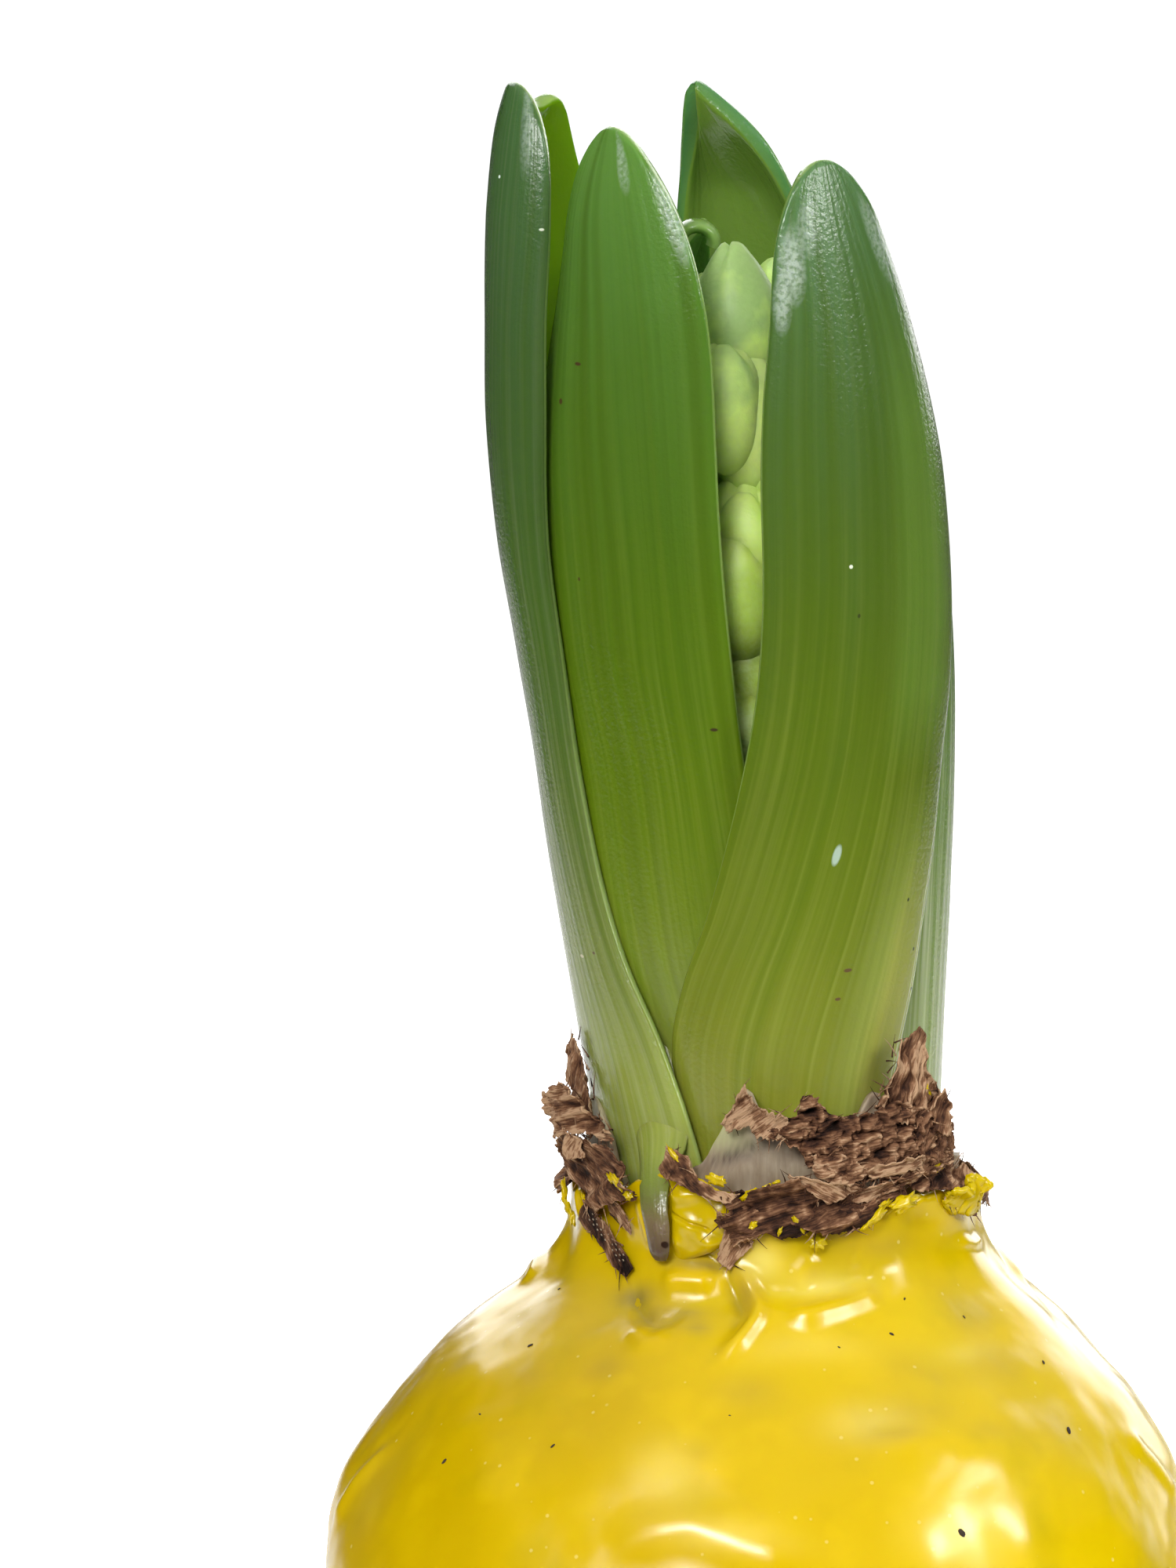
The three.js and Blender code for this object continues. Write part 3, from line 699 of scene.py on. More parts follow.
def bulbCorner(u, v):
    # the outer face of the bulb, up to the torn edge of its dry neck scale
    angle = u * 360
    below, shoulder = bulbTable["rowsBelow"], bulbTable["shoulder"]
    if v < below:
        z = mix(bulbTable["foot"], shoulder, v / below)
        return insideWax(angle, z, z)
    share = (v - below) / (1 - below)
    z = mix(shoulder, neckEdge(angle), share)
    point = insideWax(angle, min(z, 54), z)
    r = mix(math.hypot(point.x - axisShift(z), point.y), collarRadius(z) - 0.25, ease(53, 55, z))
    r += 0.10 * roundRough(angle, 4, z / 3, 3) + 0.25 * ease(0.8, 1, share) * roundRough(angle, 9, 8.0, 2)
    return polar(angle, r, z, axisShift(z))


bulb = sheet("bulbAndNeck", bulbTable["columns"], bulbTable["rows"], bulbCorner)
closeSeams(bulb)
only(bulb)
bpy.ops.object.mode_set(mode="EDIT")
bpy.ops.mesh.select_all(action="DESELECT")
bpy.ops.object.mode_set(mode="OBJECT")
for corner in bulb.data.vertices:
    corner.select = corner.co.z < (bulbTable["foot"] + 0.1) * mm
bpy.ops.object.mode_set(mode="EDIT")
bpy.ops.mesh.select_mode(type="VERT")
bpy.ops.mesh.edge_face_add()
bpy.ops.object.mode_set(mode="OBJECT")
modify(bulb, "SOLIDIFY", thickness=bulbTable["thickness"] * mm, offset=-1.0)

# where the scale is brown and torn, and where it is thin enough for the leaf to show through
torn, thin = [], []
for corner in bulb.data.vertices:
    x, y, z = corner.co / mm
    angle = math.degrees(math.atan2(y, x - axisShift(z))) % 360
    total = 0.0
    for at, height, wide, strength in bulbTable["torn"]:
        away = math.hypot(math.radians(angle - at) * 14, (z - height) / 0.55)
        total = max(total, strength * math.exp(-(away / wide) ** 2))
    torn.append(clamp01(total))
    thin.append(peak(angle, 252, 9) * ease(62.2, 63.6, z) + 0.6 * peak(angle, 192, 14) * ease(61, 63, z))
store(bulb, "torn", torn)
store(bulb, "thin", thin)

# Dry neck scale: thin, pale grey-beige, with upright fibres and brown stains at its torn edge
scalePaint, add = newPaint("drySkinScale")
where = add("TexCoord", give="Object")
fibreSpace = add("Mapping", {"Vector": where, "Scale": (1.0, 1.0, 0.12)})
fibres = add("TexNoise", {"Vector": fibreSpace, "Scale": scaleOf(0.385), "Detail": 3.0})  # 3 mm long
blotch = add("TexNoise", {"Vector": where, "Scale": scaleOf(3.03), "Detail": 4.0})
torn, thin = (add("Attribute", give="Fac", attribute_name=name) for name in ("torn", "thin"))
colour = layered(add, linear("#8a7962"), [
    ([add("MapRange", [fibres, 0.3, 0.7])], "#ab9c84"),
    ([add("MapRange", [blotch, 0.42, 0.68, 0.0, 0.85])], "#7a614c"),
    ([torn, add("MapRange", [fibres, 0.35, 0.6, 0.5, 1.0])], "#3e2a20"),
    ([thin, 0.7], "#a3a672"),
])
finishPaint(add, {
    "Base Color": colour, "Roughness": 0.55,
    "Normal": add("Bump", {"Height": fibres, "Strength": 0.6, "Distance": 0.00008}),
    "Subsurface Weight": 0.15, "Subsurface Radius": (1.0, 0.8, 0.5), "Subsurface Scale": 0.001,
})
settle(bulb, scalePaint, "bulb_scale", "bulb")


# Leaves

# Each row of a leaf: height, then the left, middle and right angle, then distances from the shoot's axis.
# "half" is half the leaf's width. "pale" and "inside" tell the colour of the veins, with its strength, and
# of the inner face. The whitish glare listed for some leaves near their tips is a painted highlight.
leafTable = {
    "bodyShare": 0.62,  # the share of the rows that is below the rounded tip
    "taper": 25,
    "flute": 0.02,
    "fluteApart": 1.5,
}
leaves = [
    {
        "name": "leafLeft", "node": "leaf_left", "thickness": 1.7, "half": 13.5,
        "grid": (42, 110), "pale": ("#b0b68c", 0.42), "inside": "#61880a",
        "tones": ["#a3ac4e", "#5a682e", "#43601e", "#3d572c", "#446538"],
        "dips": [(-0.28, 0.1, 1.0), (-0.55, 0.17, -2.1)],  # in the tip: place across, width, depth
        "streaks": [(2.2, 0.5, 0.38, 68, 96, "#b3ba98"), (1.2, 0.22, 0.36, 62, 90, "#bec4a6")],
        "paintedGlare": [(9.6, 136.5, 1.0, 3.2, 0.3)],
        "marks": [(7.2, 76.0, 0.35, 0.12, "#b5af8a"), (9.67, 76.4, 0.2, 0.1, "#5c4d34"),
                  (10.6, 138.3, 0.16, 0.16, "#23270f"), (5.27, 132.9, 0.22, 0.12, "#e6efe0"),
                  (12.2, 129.3, 0.3, 0.1, "#cfd8c0")],
        "rows": [
            [46.8, 122, 183, 244, 11.6, 11.8, 11.6], [59, 122, 183, 244, 11.6, 11.9, 11.6],
            [64, 123, 182, 239.5, 12.0, 12.5, 12.0], [70, 125, 181, 229, 12.2, 13.35, 12.2],
            [76, 128, 180, 216.9, 12.4, 14.15, 13.1], [82, 131, 179, 210.2, 12.6, 14.85, 13.9],
            [90, 135, 178, 205.4, 12.8, 15.65, 14.7], [98, 138, 178, 202, 13.0, 16.75, 15.15],
            [106, 140, 178, 199.2, 13.2, 17.8, 15.65], [115, 139, 178, 201, 13.5, 18.3, 15.7],
            [123, 138, 178, 203, 13.7, 18.1, 15.2], [131, 131, 179, 207, 13.2, 17.7, 13.8],
            [136, 127, 180, 210, 12.7, 17.2, 12.4], [139.7, 124, 181, 212, 12.0, 16.3, 11.6],
        ],
    },
    {
        "name": "leafFrontLeft", "node": "leaf_front_left", "thickness": 1.7, "half": 8.5,
        "grid": (42, 110), "pale": ("#94a34a", 0.3), "inside": "#5a8a10",
        "tones": ["#92954a", "#667c0f", "#4e6a04", "#476b20", "#608c3e"],
        "paintedGlare": [(3.8, 134.4, 0.8, 2.0, 0.4), (7.6, 130.8, 0.7, 3.2, 0.5)],
        "marks": [(-2.6, 119.7, 0.34, 0.13, "#4a3a20"), (-4.7, 116.8, 0.22, 0.22, "#4a3a20"),
                  (6.5, 93.6, 0.3, 0.12, "#3a3018"), (-3.6, 104.0, 0.1, 0.14, "#4a3f1c")],
        "rows": [
            [46.8, 196, 240, 284, 8.1, 8.1, 8.1], [60, 203, 241, 284, 9.9, 8.7, 8.1],
            [70, 205, 237, 279, 12.0, 9.8, 9.1], [76, 203, 233, 274, 12.9, 10.9, 10.0],
            [82, 200, 231, 269.5, 13.6, 11.5, 10.6], [90, 196, 229, 264.5, 14.3, 12.1, 11.5],
            [98, 190, 225, 261.5, 14.9, 12.9, 12.2], [106, 188, 223.5, 259.7, 15.3, 13.2, 12.7],
            [115, 188, 222, 259.3, 15.1, 13.4, 12.8], [125, 189, 220, 262.5, 13.6, 12.9, 12.4],
            [132, 185, 217, 263, 12.4, 12.2, 11.6], [136.9, 180, 214, 256, 11, 10.9, 10.7],
        ],
    },
    {
        "name": "leafFrontRight", "node": "leaf_front_right", "thickness": 1.8, "half": 9.5,
        "grid": (42, 110), "pale": ("#a0a850", 0.32), "inside": "#5a8a10",
        "tones": ["#8e8d31", "#63751a", "#4f660a", "#44612e", "#5a8052"],
        "marks": [(-1.1, 84.5, 0.27, 0.72, "#a6baa6"), (2.2, 76.0, 0.3, 0.14, "#5e4a2c"),
                  (2.1, 73.9, 0.2, 0.12, "#5e4a2c"), (6.2, 80.7, 0.1, 0.14, "#2e3618"),
                  (8.1, 76.9, 0.1, 0.14, "#2e3618"), (9.0, 73.9, 0.12, 0.12, "#2e3618"),
                  (-2.9, 105.5, 0.14, 0.14, "#dfe6cf"), (-2.2, 101.9, 0.12, 0.16, "#39431c")],
        "paintedGlare": [(-5.4, 130.1, 1.2, 2.1, 0.35), (-7.2, 127.3, 1.3, 2.6, 0.6), (-8.2, 124.6, 0.8, 2.0, 0.5),
                  (5.8, 128.8, 1.8, 3.0, 0.35)],
        # the first, broad streak is painted light: the leaf's right half is lighter where the light from the
        # right falls on it
        "streaks": [(7.0, 4.6, 0.36, 50, 90, "#a8b560"), (9.2, 0.12, 0.8, 50, 124, "#d9e2cc"),
                    (8.7, 0.08, 0.55, 50, 124, "#d9e2cc"), (4.6, 4.4, 0.4, 90, 128, "#74983e"),
                    (7.2, 2.6, 0.42, 58, 86, "#a09a48")],
        "rows": [
            [46.8, 232, 272, 312, 9.8, 10.8, 11.5], [60, 230, 273, 311, 9.8, 11.1, 11.6],
            [66, 228.5, 274, 314.5, 10.5, 11.8, 12.0], [70, 229.5, 276.5, 319.5, 11.0, 12.2, 12.3],
            [74.6, 237.5, 282.5, 325.5, 11.5, 12.6, 12.7], [79.6, 248.6, 290, 330.5, 12.0, 13.0, 13.1],
            [85.4, 257.5, 297.5, 336.5, 12.4, 13.3, 13.6], [91, 264.4, 303, 341.5, 13.2, 13.6, 13.9],
            [96.4, 269.1, 307, 345.5, 13.3, 13.8, 14.3], [103, 271.9, 310, 348, 13.3, 13.9, 14.5],
            [111, 272.6, 311, 348, 13.3, 13.8, 14.2], [117, 272.6, 310.5, 346, 13.1, 13.5, 13.5],
            [123, 272, 309, 343, 12.8, 13.0, 12.5], [129, 268, 305, 338.5, 12.1, 12.3, 11.6],
            [134.8, 264, 301, 334, 11, 11.1, 10.9],
        ],
    },
    {
        "name": "leafRight", "node": "leaf_right", "thickness": 1.5, "half": 12,
        "grid": (30, 80), "pale": ("#dde2c4", 0.9), "inside": "#5a8a10",
        "tones": ["#98a468", "#6f8840", "#557a28", "#456832", "#4a7444"],
        "rows": [
            [46.8, -60, 8, 75, 9.3, 11.5, 10.6], [60, -58, 8, 75, 9.3, 11.6, 10.8],
            [70, -48, 8, 72, 9.8, 12.3, 11.5], [80, -40, 8, 68, 10.3, 13.1, 12.4],
            [90, -34, 9, 64, 11.0, 13.8, 12.9], [100, -30, 10, 60, 11.1, 14.0, 13.0],
            [108, -28, 11, 57, 11.1, 13.5, 12.7], [118, -26, 12, 46, 10.5, 12.1, 12.2],
            [127, -24, 13, 50, 9.5, 10.2, 10.0],
        ],
    },
    {
        "name": "leafBack", "node": "leaf_back", "thickness": 1.7, "half": 8, "marginTone": "#447a4c",
        "grid": (30, 80), "pale": ("#94a34a", 0.3), "inside": "#698836",
        "tones": ["#92954a", "#667c0f", "#4e6a04", "#476b28", "#568046"],
        "rows": [
            [46.8, 45, 90, 135, 8.9, 9.3, 9.8], [60, 45, 90, 135, 9.0, 9.4, 9.9],
            [70, 45, 90, 130, 9.6, 10.3, 10.7], [80, 46, 90, 125, 10.3, 11.2, 11.4],
            [90, 46, 89, 124, 10.7, 11.6, 11.6], [105, 46, 88, 123, 11.2, 12.1, 11.8],
            [118, 45, 86, 121, 11.2, 12.3, 12.0], [125, 42, 84, 117, 9.5, 12.4, 11.7],
            [131, 50, 88, 119, 5.6, 11.9, 11.0], [134, 56, 97, 121, 3.9, 10.4, 9.6],
            [136.5, 72, 107, 121, 3.6, 8.8, 8.4], [139.2, 104, 114, 123, 5.6, 7.8, 7.4],
        ],
    },
    {
        "name": "leafInner", "node": "leaf_inner", "thickness": 1.2, "half": 4.5,
        "grid": (30, 80), "pale": ("#94a34a", 0.3), "inside": "#4c7430",
        "tones": ["#7c893a", "#66801c", "#5c8430", "#5c8440", "#5c8444"],
        "rows": [
            [46.8, 98, 130, 162, 6.9, 6.9, 6.9], [60, 100, 132, 164, 7.3, 7.3, 7.3],
            [70, 106, 138, 168, 8.8, 8.8, 8.8], [80, 116, 146, 174, 9.9, 10.1, 10.3],
            [90, 126, 152, 178, 10.2, 10.5, 10.8], [100, 122, 150, 178, 10.1, 10.6, 10.9],
            [110, 112, 142, 172, 9.6, 10.3, 10.6], [118, 100, 132, 164, 8.6, 9.7, 9.5],
            [124, 95, 126, 158, 7.2, 8.4, 8.1], [129.3, 95, 122, 150, 4.2, 4.7, 4.6],
        ],
    },
]


def acrossLeaf(rows, z, first, width, share=1.0):
    # a measure at a place across the leaf, from its values at the left, in the middle and at the right
    low, middle, high = (along(rows, z, first + k) for k in range(3))
    return middle + (high - low) / 2 * width + ((low + high) / 2 - middle) * width * width / share


def leafSpot(plan, across, up):
    # a corner of the leaf's middle sheet, with its place across (-1 to 1), its height and its share of width
    rows = plan["rows"]
    bottom, tip, taper = rows[0][0], rows[-1][0], leafTable["taper"]
    share = 1.0
    width = across
    if up <= leafTable["bodyShare"]:
        z = mix(bottom, tip - taper, up / leafTable["bodyShare"])
    else:
        b = (up - leafTable["bodyShare"]) / (1 - leafTable["bodyShare"])
        width = across * math.sqrt(1 - b * b / 2)  # a square patch becomes half of a round one
        climb = b * math.sqrt(1 - across * across / 2)
        share = math.sqrt(max(1 - climb * climb, 1e-5))
        z = tip - taper + taper * climb
        for at, wide, deep in plan.get("dips", ()):
            z -= deep * math.exp(-((width - at) / wide) ** 2) * ease(0.7, 0.95, climb)
    angle, r = (acrossLeaf(rows, z, first, width, share) for first in (1, 4))
    return polar(angle, r, z, shootAxis(z)), facing(angle)[0], width / mix(share, 1, 0.12), share, z


def makeLeaf(plan, seed):
    spots = []  # for each corner: millimetres across and up for the veins, and its share of the thickness

    def place(u, v):
        x = 2 * u - 1
        point, outward, vein, share, z = leafSpot(plan, x, v)
        spots.append((vein * plan["half"], z, (1 - 0.25 * x * x - 0.35 * x ** 8) * mix(0.75, 1, share)))
        flute = leafTable["flute"] * math.sin(vein * plan["half"] * 2 * math.pi / leafTable["fluteApart"])
        wave = 0.12 * rough(vein * 1.3 + seed, z / 16, seed * 3.1, 2)
        return point + outward * (flute * (1 - vein * vein) + wave * ease(60, 80, z))

    leaf = sheet(plan["name"], *plan["grid"], place)
    setMap(leaf, "veins", lambda u, v, corner: spots[corner][:2])
    thin = leaf.vertex_groups.new(name="thickness")
    for k, (_, _, thickness) in enumerate(spots):
        thin.add([k], thickness, "REPLACE")
    for name in ("inside", "margin"):
        leaf.vertex_groups.new(name=name)
    modify(
        leaf, "SOLIDIFY", thickness=plan["thickness"] * mm, offset=0.0, vertex_group="thickness",
        shell_vertex_group="inside", rim_vertex_group="margin",
    )
    modify(leaf, "SUBSURF", levels=1, render_levels=1)
    for name in ("inside", "margin"):
        groupToAttribute(leaf, name)
    leaf.vertex_groups.clear()
    return leaf


def leafPaint(plan, seed):
    # a strap leaf: a waxy bloom over long parallel veins, bluish at the tip and yellower at the foot
    paint, add = newPaint("waxyLeaf" + plan["name"][4:])
    place = add("UVMap", uv_map="veins")
    x, height, _ = add("SeparateXYZ", [place]).node.outputs

    def veined(often, drift, layer, detail):
        # noise in streaks along the leaf, so often in a millimetre across and up
        across = add("Math", [x, often], operation="MULTIPLY")
        up = add("Math", [height, drift], operation="MULTIPLY")
        return add("TexNoise", {"Vector": add("CombineXYZ", [across, up, seed + layer]), "Scale": 1.0,
                                "Detail": detail})

    def oval(at, up, wide, tall):
        # distance squared from a place on the leaf, 1 at the edge of an oval round it
        off = add("VectorMath", [place, (at, up, 0)], operation="SUBTRACT")
        off = add("VectorMath", [off, (wide, tall, 1)], operation="DIVIDE")
        return add("VectorMath", [off, off], "Value", operation="DOT_PRODUCT")

    # bands about 1.4 mm wide, and veins about 0.5 mm apart at uneven distances, all along the leaf
    broad = veined(0.7, 0.006, 0, 1.0)
    fine = add("MapRange", [veined(2.1, 0.014, 9, 2.0), 0.33, 0.67])
    where = add("TexCoord", give="Object")
    haze = add("TexNoise", {"Vector": where, "Scale": scaleOf(6.25), "Detail": 3.0})
    speckle = add("TexNoise", {"Vector": where, "Scale": scaleOf(0.333), "Detail": 2.0})
    # colours by height, which the bands and the haze shift by 10.5 mm on average
    level = add("Math", [broad, 16.0, height], operation="MULTIPLY_ADD")
    level = add("Math", [haze, 5.0, level], operation="MULTIPLY_ADD")
    body = add("ValToRGB", [add("MapRange", [level, 66.5, 150.5])], interpolation="B_SPLINE",
               stops=zip((0.05, 0.25, 0.5, 0.78, 0.97), plan["tones"]))
    # the veins show most near the foot
    paleTone, paleShare = plan["pale"]
    foot = add("MapRange", [height, 62, 112, 1.15 * paleShare, 0.15 * 1.15 * paleShare])
    layers = [([fine, add("MapRange", [veined(1.7, 0.03, 20, 2.0), 0.4, 0.66]), foot], paleTone)]
    for at, width, share, low, high, tone in plan.get("streaks", ()):
        # a soft streak along the veins: place across, half width, strength, where it starts and ends, colour
        off = add("Math", [add("Math", [x, at], operation="SUBTRACT")], operation="ABSOLUTE")
        line = add("MapRange", [off, width, width * 0.4, 0.0, share])
        above = add("MapRange", [height, low, low + 6])
        layers.append(([line, above, add("MapRange", [height, high, high - 12])], tone))
    darkBands = add("MapRange", [broad, 0.5, 0.25, 0.0, 0.35])
    darkLines = add("MapRange", [fine, 0.5, 0.0, 0.0, 0.14])
    layers.append(([add("Math", [darkBands, darkLines], operation="MAXIMUM")], "#3a5608"))
    if plan.get("withered"):
        # green above, then grey-brown and dull towards the end
        dead = add("Math", [haze, 3.0, height], operation="MULTIPLY_ADD")
        dead = add("ValToRGB", [add("MapRange", [dead, 56.1, 62.1])], stops=[
            (0.1, "#544334"), (0.4, "#706047"), (0.6, "#6c6a3e"), (0.95, "#6c7a38")])
        layers.append(([add("MapRange", [height, 62.4, 59.0])], dead))
    for at, up, wide, tall, share in plan.get("paintedGlare", ()):
        # painted highlight: whitish, speckled glare near the tips: place across and up, half width, half
        # height, strength
        thick = add("MapRange", [oval(at, up, wide, tall), 1.5, 0.0, 0.0, share])
        layers.append(([thick, add("MapRange", [speckle, 0.35, 0.6, 0.3, 1.0])], "#cfdacf"))
    for at, up, wide, tall, tone in plan.get("marks", ()):
        # a small mark: place across and up the leaf, half width, half height, colour
        layers.append(([add("MapRange", [oval(at, up, wide, tall), 1.4, 0.6])], tone))
    inside, margin = (add("Attribute", give="Fac", attribute_name=name) for name in ("inside", "margin"))
    layers.append(([inside, add("MapRange", [height, 95, 112])], plan["inside"]))
    layers.append(([add("MapRange", [margin, 0.7, 1.0, 0.0, 0.5])], plan.get("marginTone", "#9db56a")))
    relief = add("Math", [fine, 0.12, broad], operation="MULTIPLY_ADD")
    veins = add("Bump", {"Height": relief, "Strength": 0.6, "Distance": 0.00012})
    finishPaint(add, {
        "Base Color": layered(add, body, layers), "Roughness": add("MapRange", [haze, 0.1, 0.9, 0.12, 0.24]),
        "Normal": add("Bump", {"Height": speckle, "Normal": veins, "Strength": 0.8, "Distance": 0.00005}),
        "IOR": 1.42, "Subsurface Weight": 0.3, "Subsurface Radius": (0.55, 1.0, 0.12),
        "Subsurface Scale": 0.0022,
    })
    return paint


for number, plan in enumerate(leaves):
    settle(makeLeaf(plan, number + 1.5), leafPaint(plan, number * 5.0), "leaf", plan["node"])


# The left leaf's foot narrows to a withered tail over the wax; its veins run on into it
tailPlan = {
    "name": "leafTail", "across": 20, "up": 64, "thickness": 0.75, "veinsFrom": 9.8, "veinsHalf": 3.8,
    "withered": True, "tones": ["#8a9340"] * 5, "pale": ("#a5ac78", 0.4), "inside": "#61880a",
    "marks": [(12.4, 56.0, 0.9, 0.24, "#2a1a10")],
    "rows": [
        [54.9, 237.6, 238.3, 239.0, 16.0, 16.1, 16.0], [55.3, 236.5, 238.3, 240.1, 16.1, 16.4, 16.1],
        [56.2, 235.3, 238.0, 240.7, 16.1, 16.45, 16.1], [57.1, 234.3, 237.4, 240.5, 16.0, 16.35, 16.0],
        [58.5, 232.2, 236.0, 239.8, 15.8, 16.1, 15.8], [59.7, 230.2, 234.6, 238.8, 15.3, 15.6, 15.3],
        [61.0, 226.5, 232.4, 238.0, 14.1, 14.75, 14.1], [62.2, 221, 230, 238.4, 13.0, 13.8, 12.9],
        [63.5, 214, 226.5, 237.5, 12.1, 12.95, 11.9], [65.5, 206, 220.5, 234.0, 11.5, 12.25, 11.2],
        [68, 202, 215.5, 228.5, 11.2, 12.0, 11.0], [71, 200, 210, 221, 11.1, 11.6, 10.9],
    ],
}


def tailHeight(v):
    return mix(tailPlan["rows"][0][0], tailPlan["rows"][-1][0], v ** 1.3)


def tailCorner(u, v):
    x, z = 2 * u - 1, tailHeight(v)
    angle, r = (acrossLeaf(tailPlan["rows"], z, first, x) for first in (1, 4))
    return polar(angle, r + 0.06 * rough(x * 2, z / 1.5, 4.0, 2), z, bulbShape["neckShift"])


def tailVeins(u, v, corner):
    return tailPlan["veinsFrom"] + tailPlan["veinsHalf"] * (2 * u - 1), tailHeight(v)


tail = sheet("leafTail", tailPlan["across"], tailPlan["up"], tailCorner)
setMap(tail, "veins", tailVeins)
modify(tail, "SOLIDIFY", thickness=tailPlan["thickness"] * mm, offset=0.0)
modify(tail, "SUBSURF", levels=1, render_levels=1)
settle(tail, leafPaint(tailPlan, 0.0), "leaf")


# Flower spike

budTable = {
    "length": 11.6, "radius": 3.3, "rise": 5.95, "rings": 8, "first": 69.45, "file": 266, "topFoot": 116.5,
    "pointed": 24,  # the top bud in front has a narrower tip
    # buds that show between the leaves: their place in the list, then angle, foot, distance out, lean, size
    "moved": {24: (259, 116.2, 3.3, 1, 1.06), 22: (256, 111.4, 6.4, 2, 0.86), 19: (300, 105.4, 4.6, 6, 0.95),
              16: (261, 97.4, 6.6, 4, 0.93), 10: (262, 85.4, 6.2, 6, 0.95)},
    "added": [(264, 100.6, 4.6, 5, 0.95), (270, 109.6, 4.8, 3, 0.9), (266, 90.6, 5.4, 5, 0.85)],
    # the stalk: height, radius
    "stalk": [[46.8, 3.9], [60, 4.1], [70, 3.9], [78, 4.4], [112, 4.4], [122, 2.6], [126, 0.3]],
}


def drawer(seed):
    # the same random numbers as in the CAD source
    state = [seed]

    def draw():
        state[0] = (state[0] * 1664525 + 1013904223) % 4294967296
        return state[0] / 4294967296

    return draw


def budPlaces():
    draw = drawer(7)
    places = []
    last = budTable["rings"] - 1
    for ring in range(budTable["rings"]):
        for side in range(3):
            jitter = draw() - 0.5
            z = budTable["first"] + budTable["rise"] * ring + 0.8 * side * (-0.5 if side == 2 else 1)
            narrow, out = (0.84, 3.6) if ring == 0 else (0.92, 4.6) if ring == last else (1, 5.1)
            angle = budTable["file"] + 60 * (ring + 1) + 120 * side + 5 * jitter
            places.append((angle, z, out, 3 if ring == last else 8, narrow))
    for side in range(3):
        places.append((budTable["file"] + 2 + 120 * side, budTable["topFoot"] - 1.2 * side, 3.3, 1, 1))
    for place, change in budTable["moved"].items():
        places[place] = change
    return places + budTable["added"]


def makeBud():
    # a closed bud: three outer petals wrap three inner ones, and their tips stay apart
    bpy.ops.object.select_all(action="DESELECT")
    bpy.ops.mesh.primitive_uv_sphere_add(segments=36, ring_count=26, radius=1)
    bud = bpy.context.object
    for corner in bud.data.vertices:
        up = clamp01((corner.co.z + 1) / 2)
        a = math.atan2(corner.co.y, corner.co.x)
        girth = math.sqrt(max(0, 1 - abs(2 * up - 1) ** 2.6))
        seam = 1 - abs(math.sin(1.5 * a + 0.4))
        groove = seam ** 5 * (0.05 + 0.16 * ease(0.55, 0.97, up))
        lobes = 0.05 * math.cos(3 * a + 0.8) * ease(0.4, 0.9, up)
        r = girth * (1 - groove + lobes) * (0.90 + 0.10 * math.sin(math.pi * up))
        tipDip = 0.05 * (1 - ease(0, 0.35, girth)) * ease(0.5, 1, up)
        tipNotch = 0.07 * seam ** 3 * ease(0.75, 1, up)
        corner.co = Vector((r * math.cos(a), r * math.sin(a), up - tipDip - tipNotch))
    return bud


def stalkCorner(u, v):
    z = mix(budTable["stalk"][0][0], budTable["stalk"][-1][0], v)
    r = along(budTable["stalk"], z, 1) * (1 + 0.05 * math.cos(12 * math.pi * u + z / 4))
    return polar(360 * u, r, z, shootAxis(z))


spike = [sheet("stalk", 24, 60, stalkCorner)]
closeSeams(spike[0])
firstBud = makeBud()
random.seed(11)
for number, (angle, foot, out, lean, narrow) in enumerate(budPlaces()):
    bud = copyOf(firstBud)
    turn, swell = random.uniform(0, 120), random.uniform(0.97, 1.03)
    radius, length = budTable["radius"] * narrow * swell, budTable["length"] * narrow
    for corner in bud.data.vertices:
        x, y, z = corner.co
        x, y = turned(x, y, math.radians(turn))
        if number == budTable["pointed"]:
            x, y = x * (1 - 0.34 * ease(0.5, 1, z)), y * (1 - 0.34 * ease(0.5, 1, z))
        x, z = turned(x * radius, z * length, -math.radians(lean))
        x, y = turned(x + out, y * radius, math.radians(angle))
        corner.co = Vector((x + shootAxis(z + foot), y, z + foot)) * mm
    spike.append(bud)
bpy.data.objects.remove(firstBud)
flowerSpike = join("flowerSpike", spike)

# Closed hyacinth buds: firm, matt and pale green, a little darker in the seams. The colour goes by height:
# darker low down, as painted shade deep between the leaves, and lighter higher up, as painted light where the
# leaves shade the buds
budPaint, add = newPaint("paleGreenBud")
where = add("TexCoord", give="Object")
soft = add("TexNoise", {"Vector": where, "Scale": scaleOf(3.33), "Detail": 3.0})
pearly = add("TexNoise", {"Vector": where, "Scale": scaleOf(0.4), "Detail": 3.0})
# painted shade and light: colour by height, dark green low down and bright pale green higher up
level = add("Math", [soft, 0.03, add("SeparateXYZ", [where], "Z")], operation="MULTIPLY_ADD")
colour = add("ValToRGB", [add("MapRange", [level, 0.085, 0.145])], stops=[
    (0.25, "#4c6618"), (0.43, "#9ab440"), (0.57, "#b8d858"), (0.77, "#d4f080"), (0.93, "#a0be74")])
finishPaint(add, {
    "Base Color": layered(add, colour, [([add("MapRange", [pearly, 0.35, 0.75, 0.0, 0.25])], "#bcd68c")]),
    "Normal": add("Bump", {"Height": pearly, "Strength": 0.8, "Distance": 0.00006}), "Roughness": 0.48,
    "Subsurface Weight": 0.3, "Subsurface Radius": (0.6, 1.0, 0.25), "Subsurface Scale": 0.002,
})
settle(flowerSpike, budPaint, "flower_bud", "flower_spike")

# A small hooded leaf tip arches over the top bud
hoodTable = {
    "middle": (-4.75, 1.0, 127.9), "half": 1.25, "high": 1.15, "wide": 1.5, "thick": 0.55,
    "tuck": 0.35,  # how far its ends go past the half circle, in radians
    "paint": {"name": "leafHood", "tones": ["#7c9c54"] * 5, "pale": ("#94a34a", 0.3), "inside": "#7c9c54"},
}


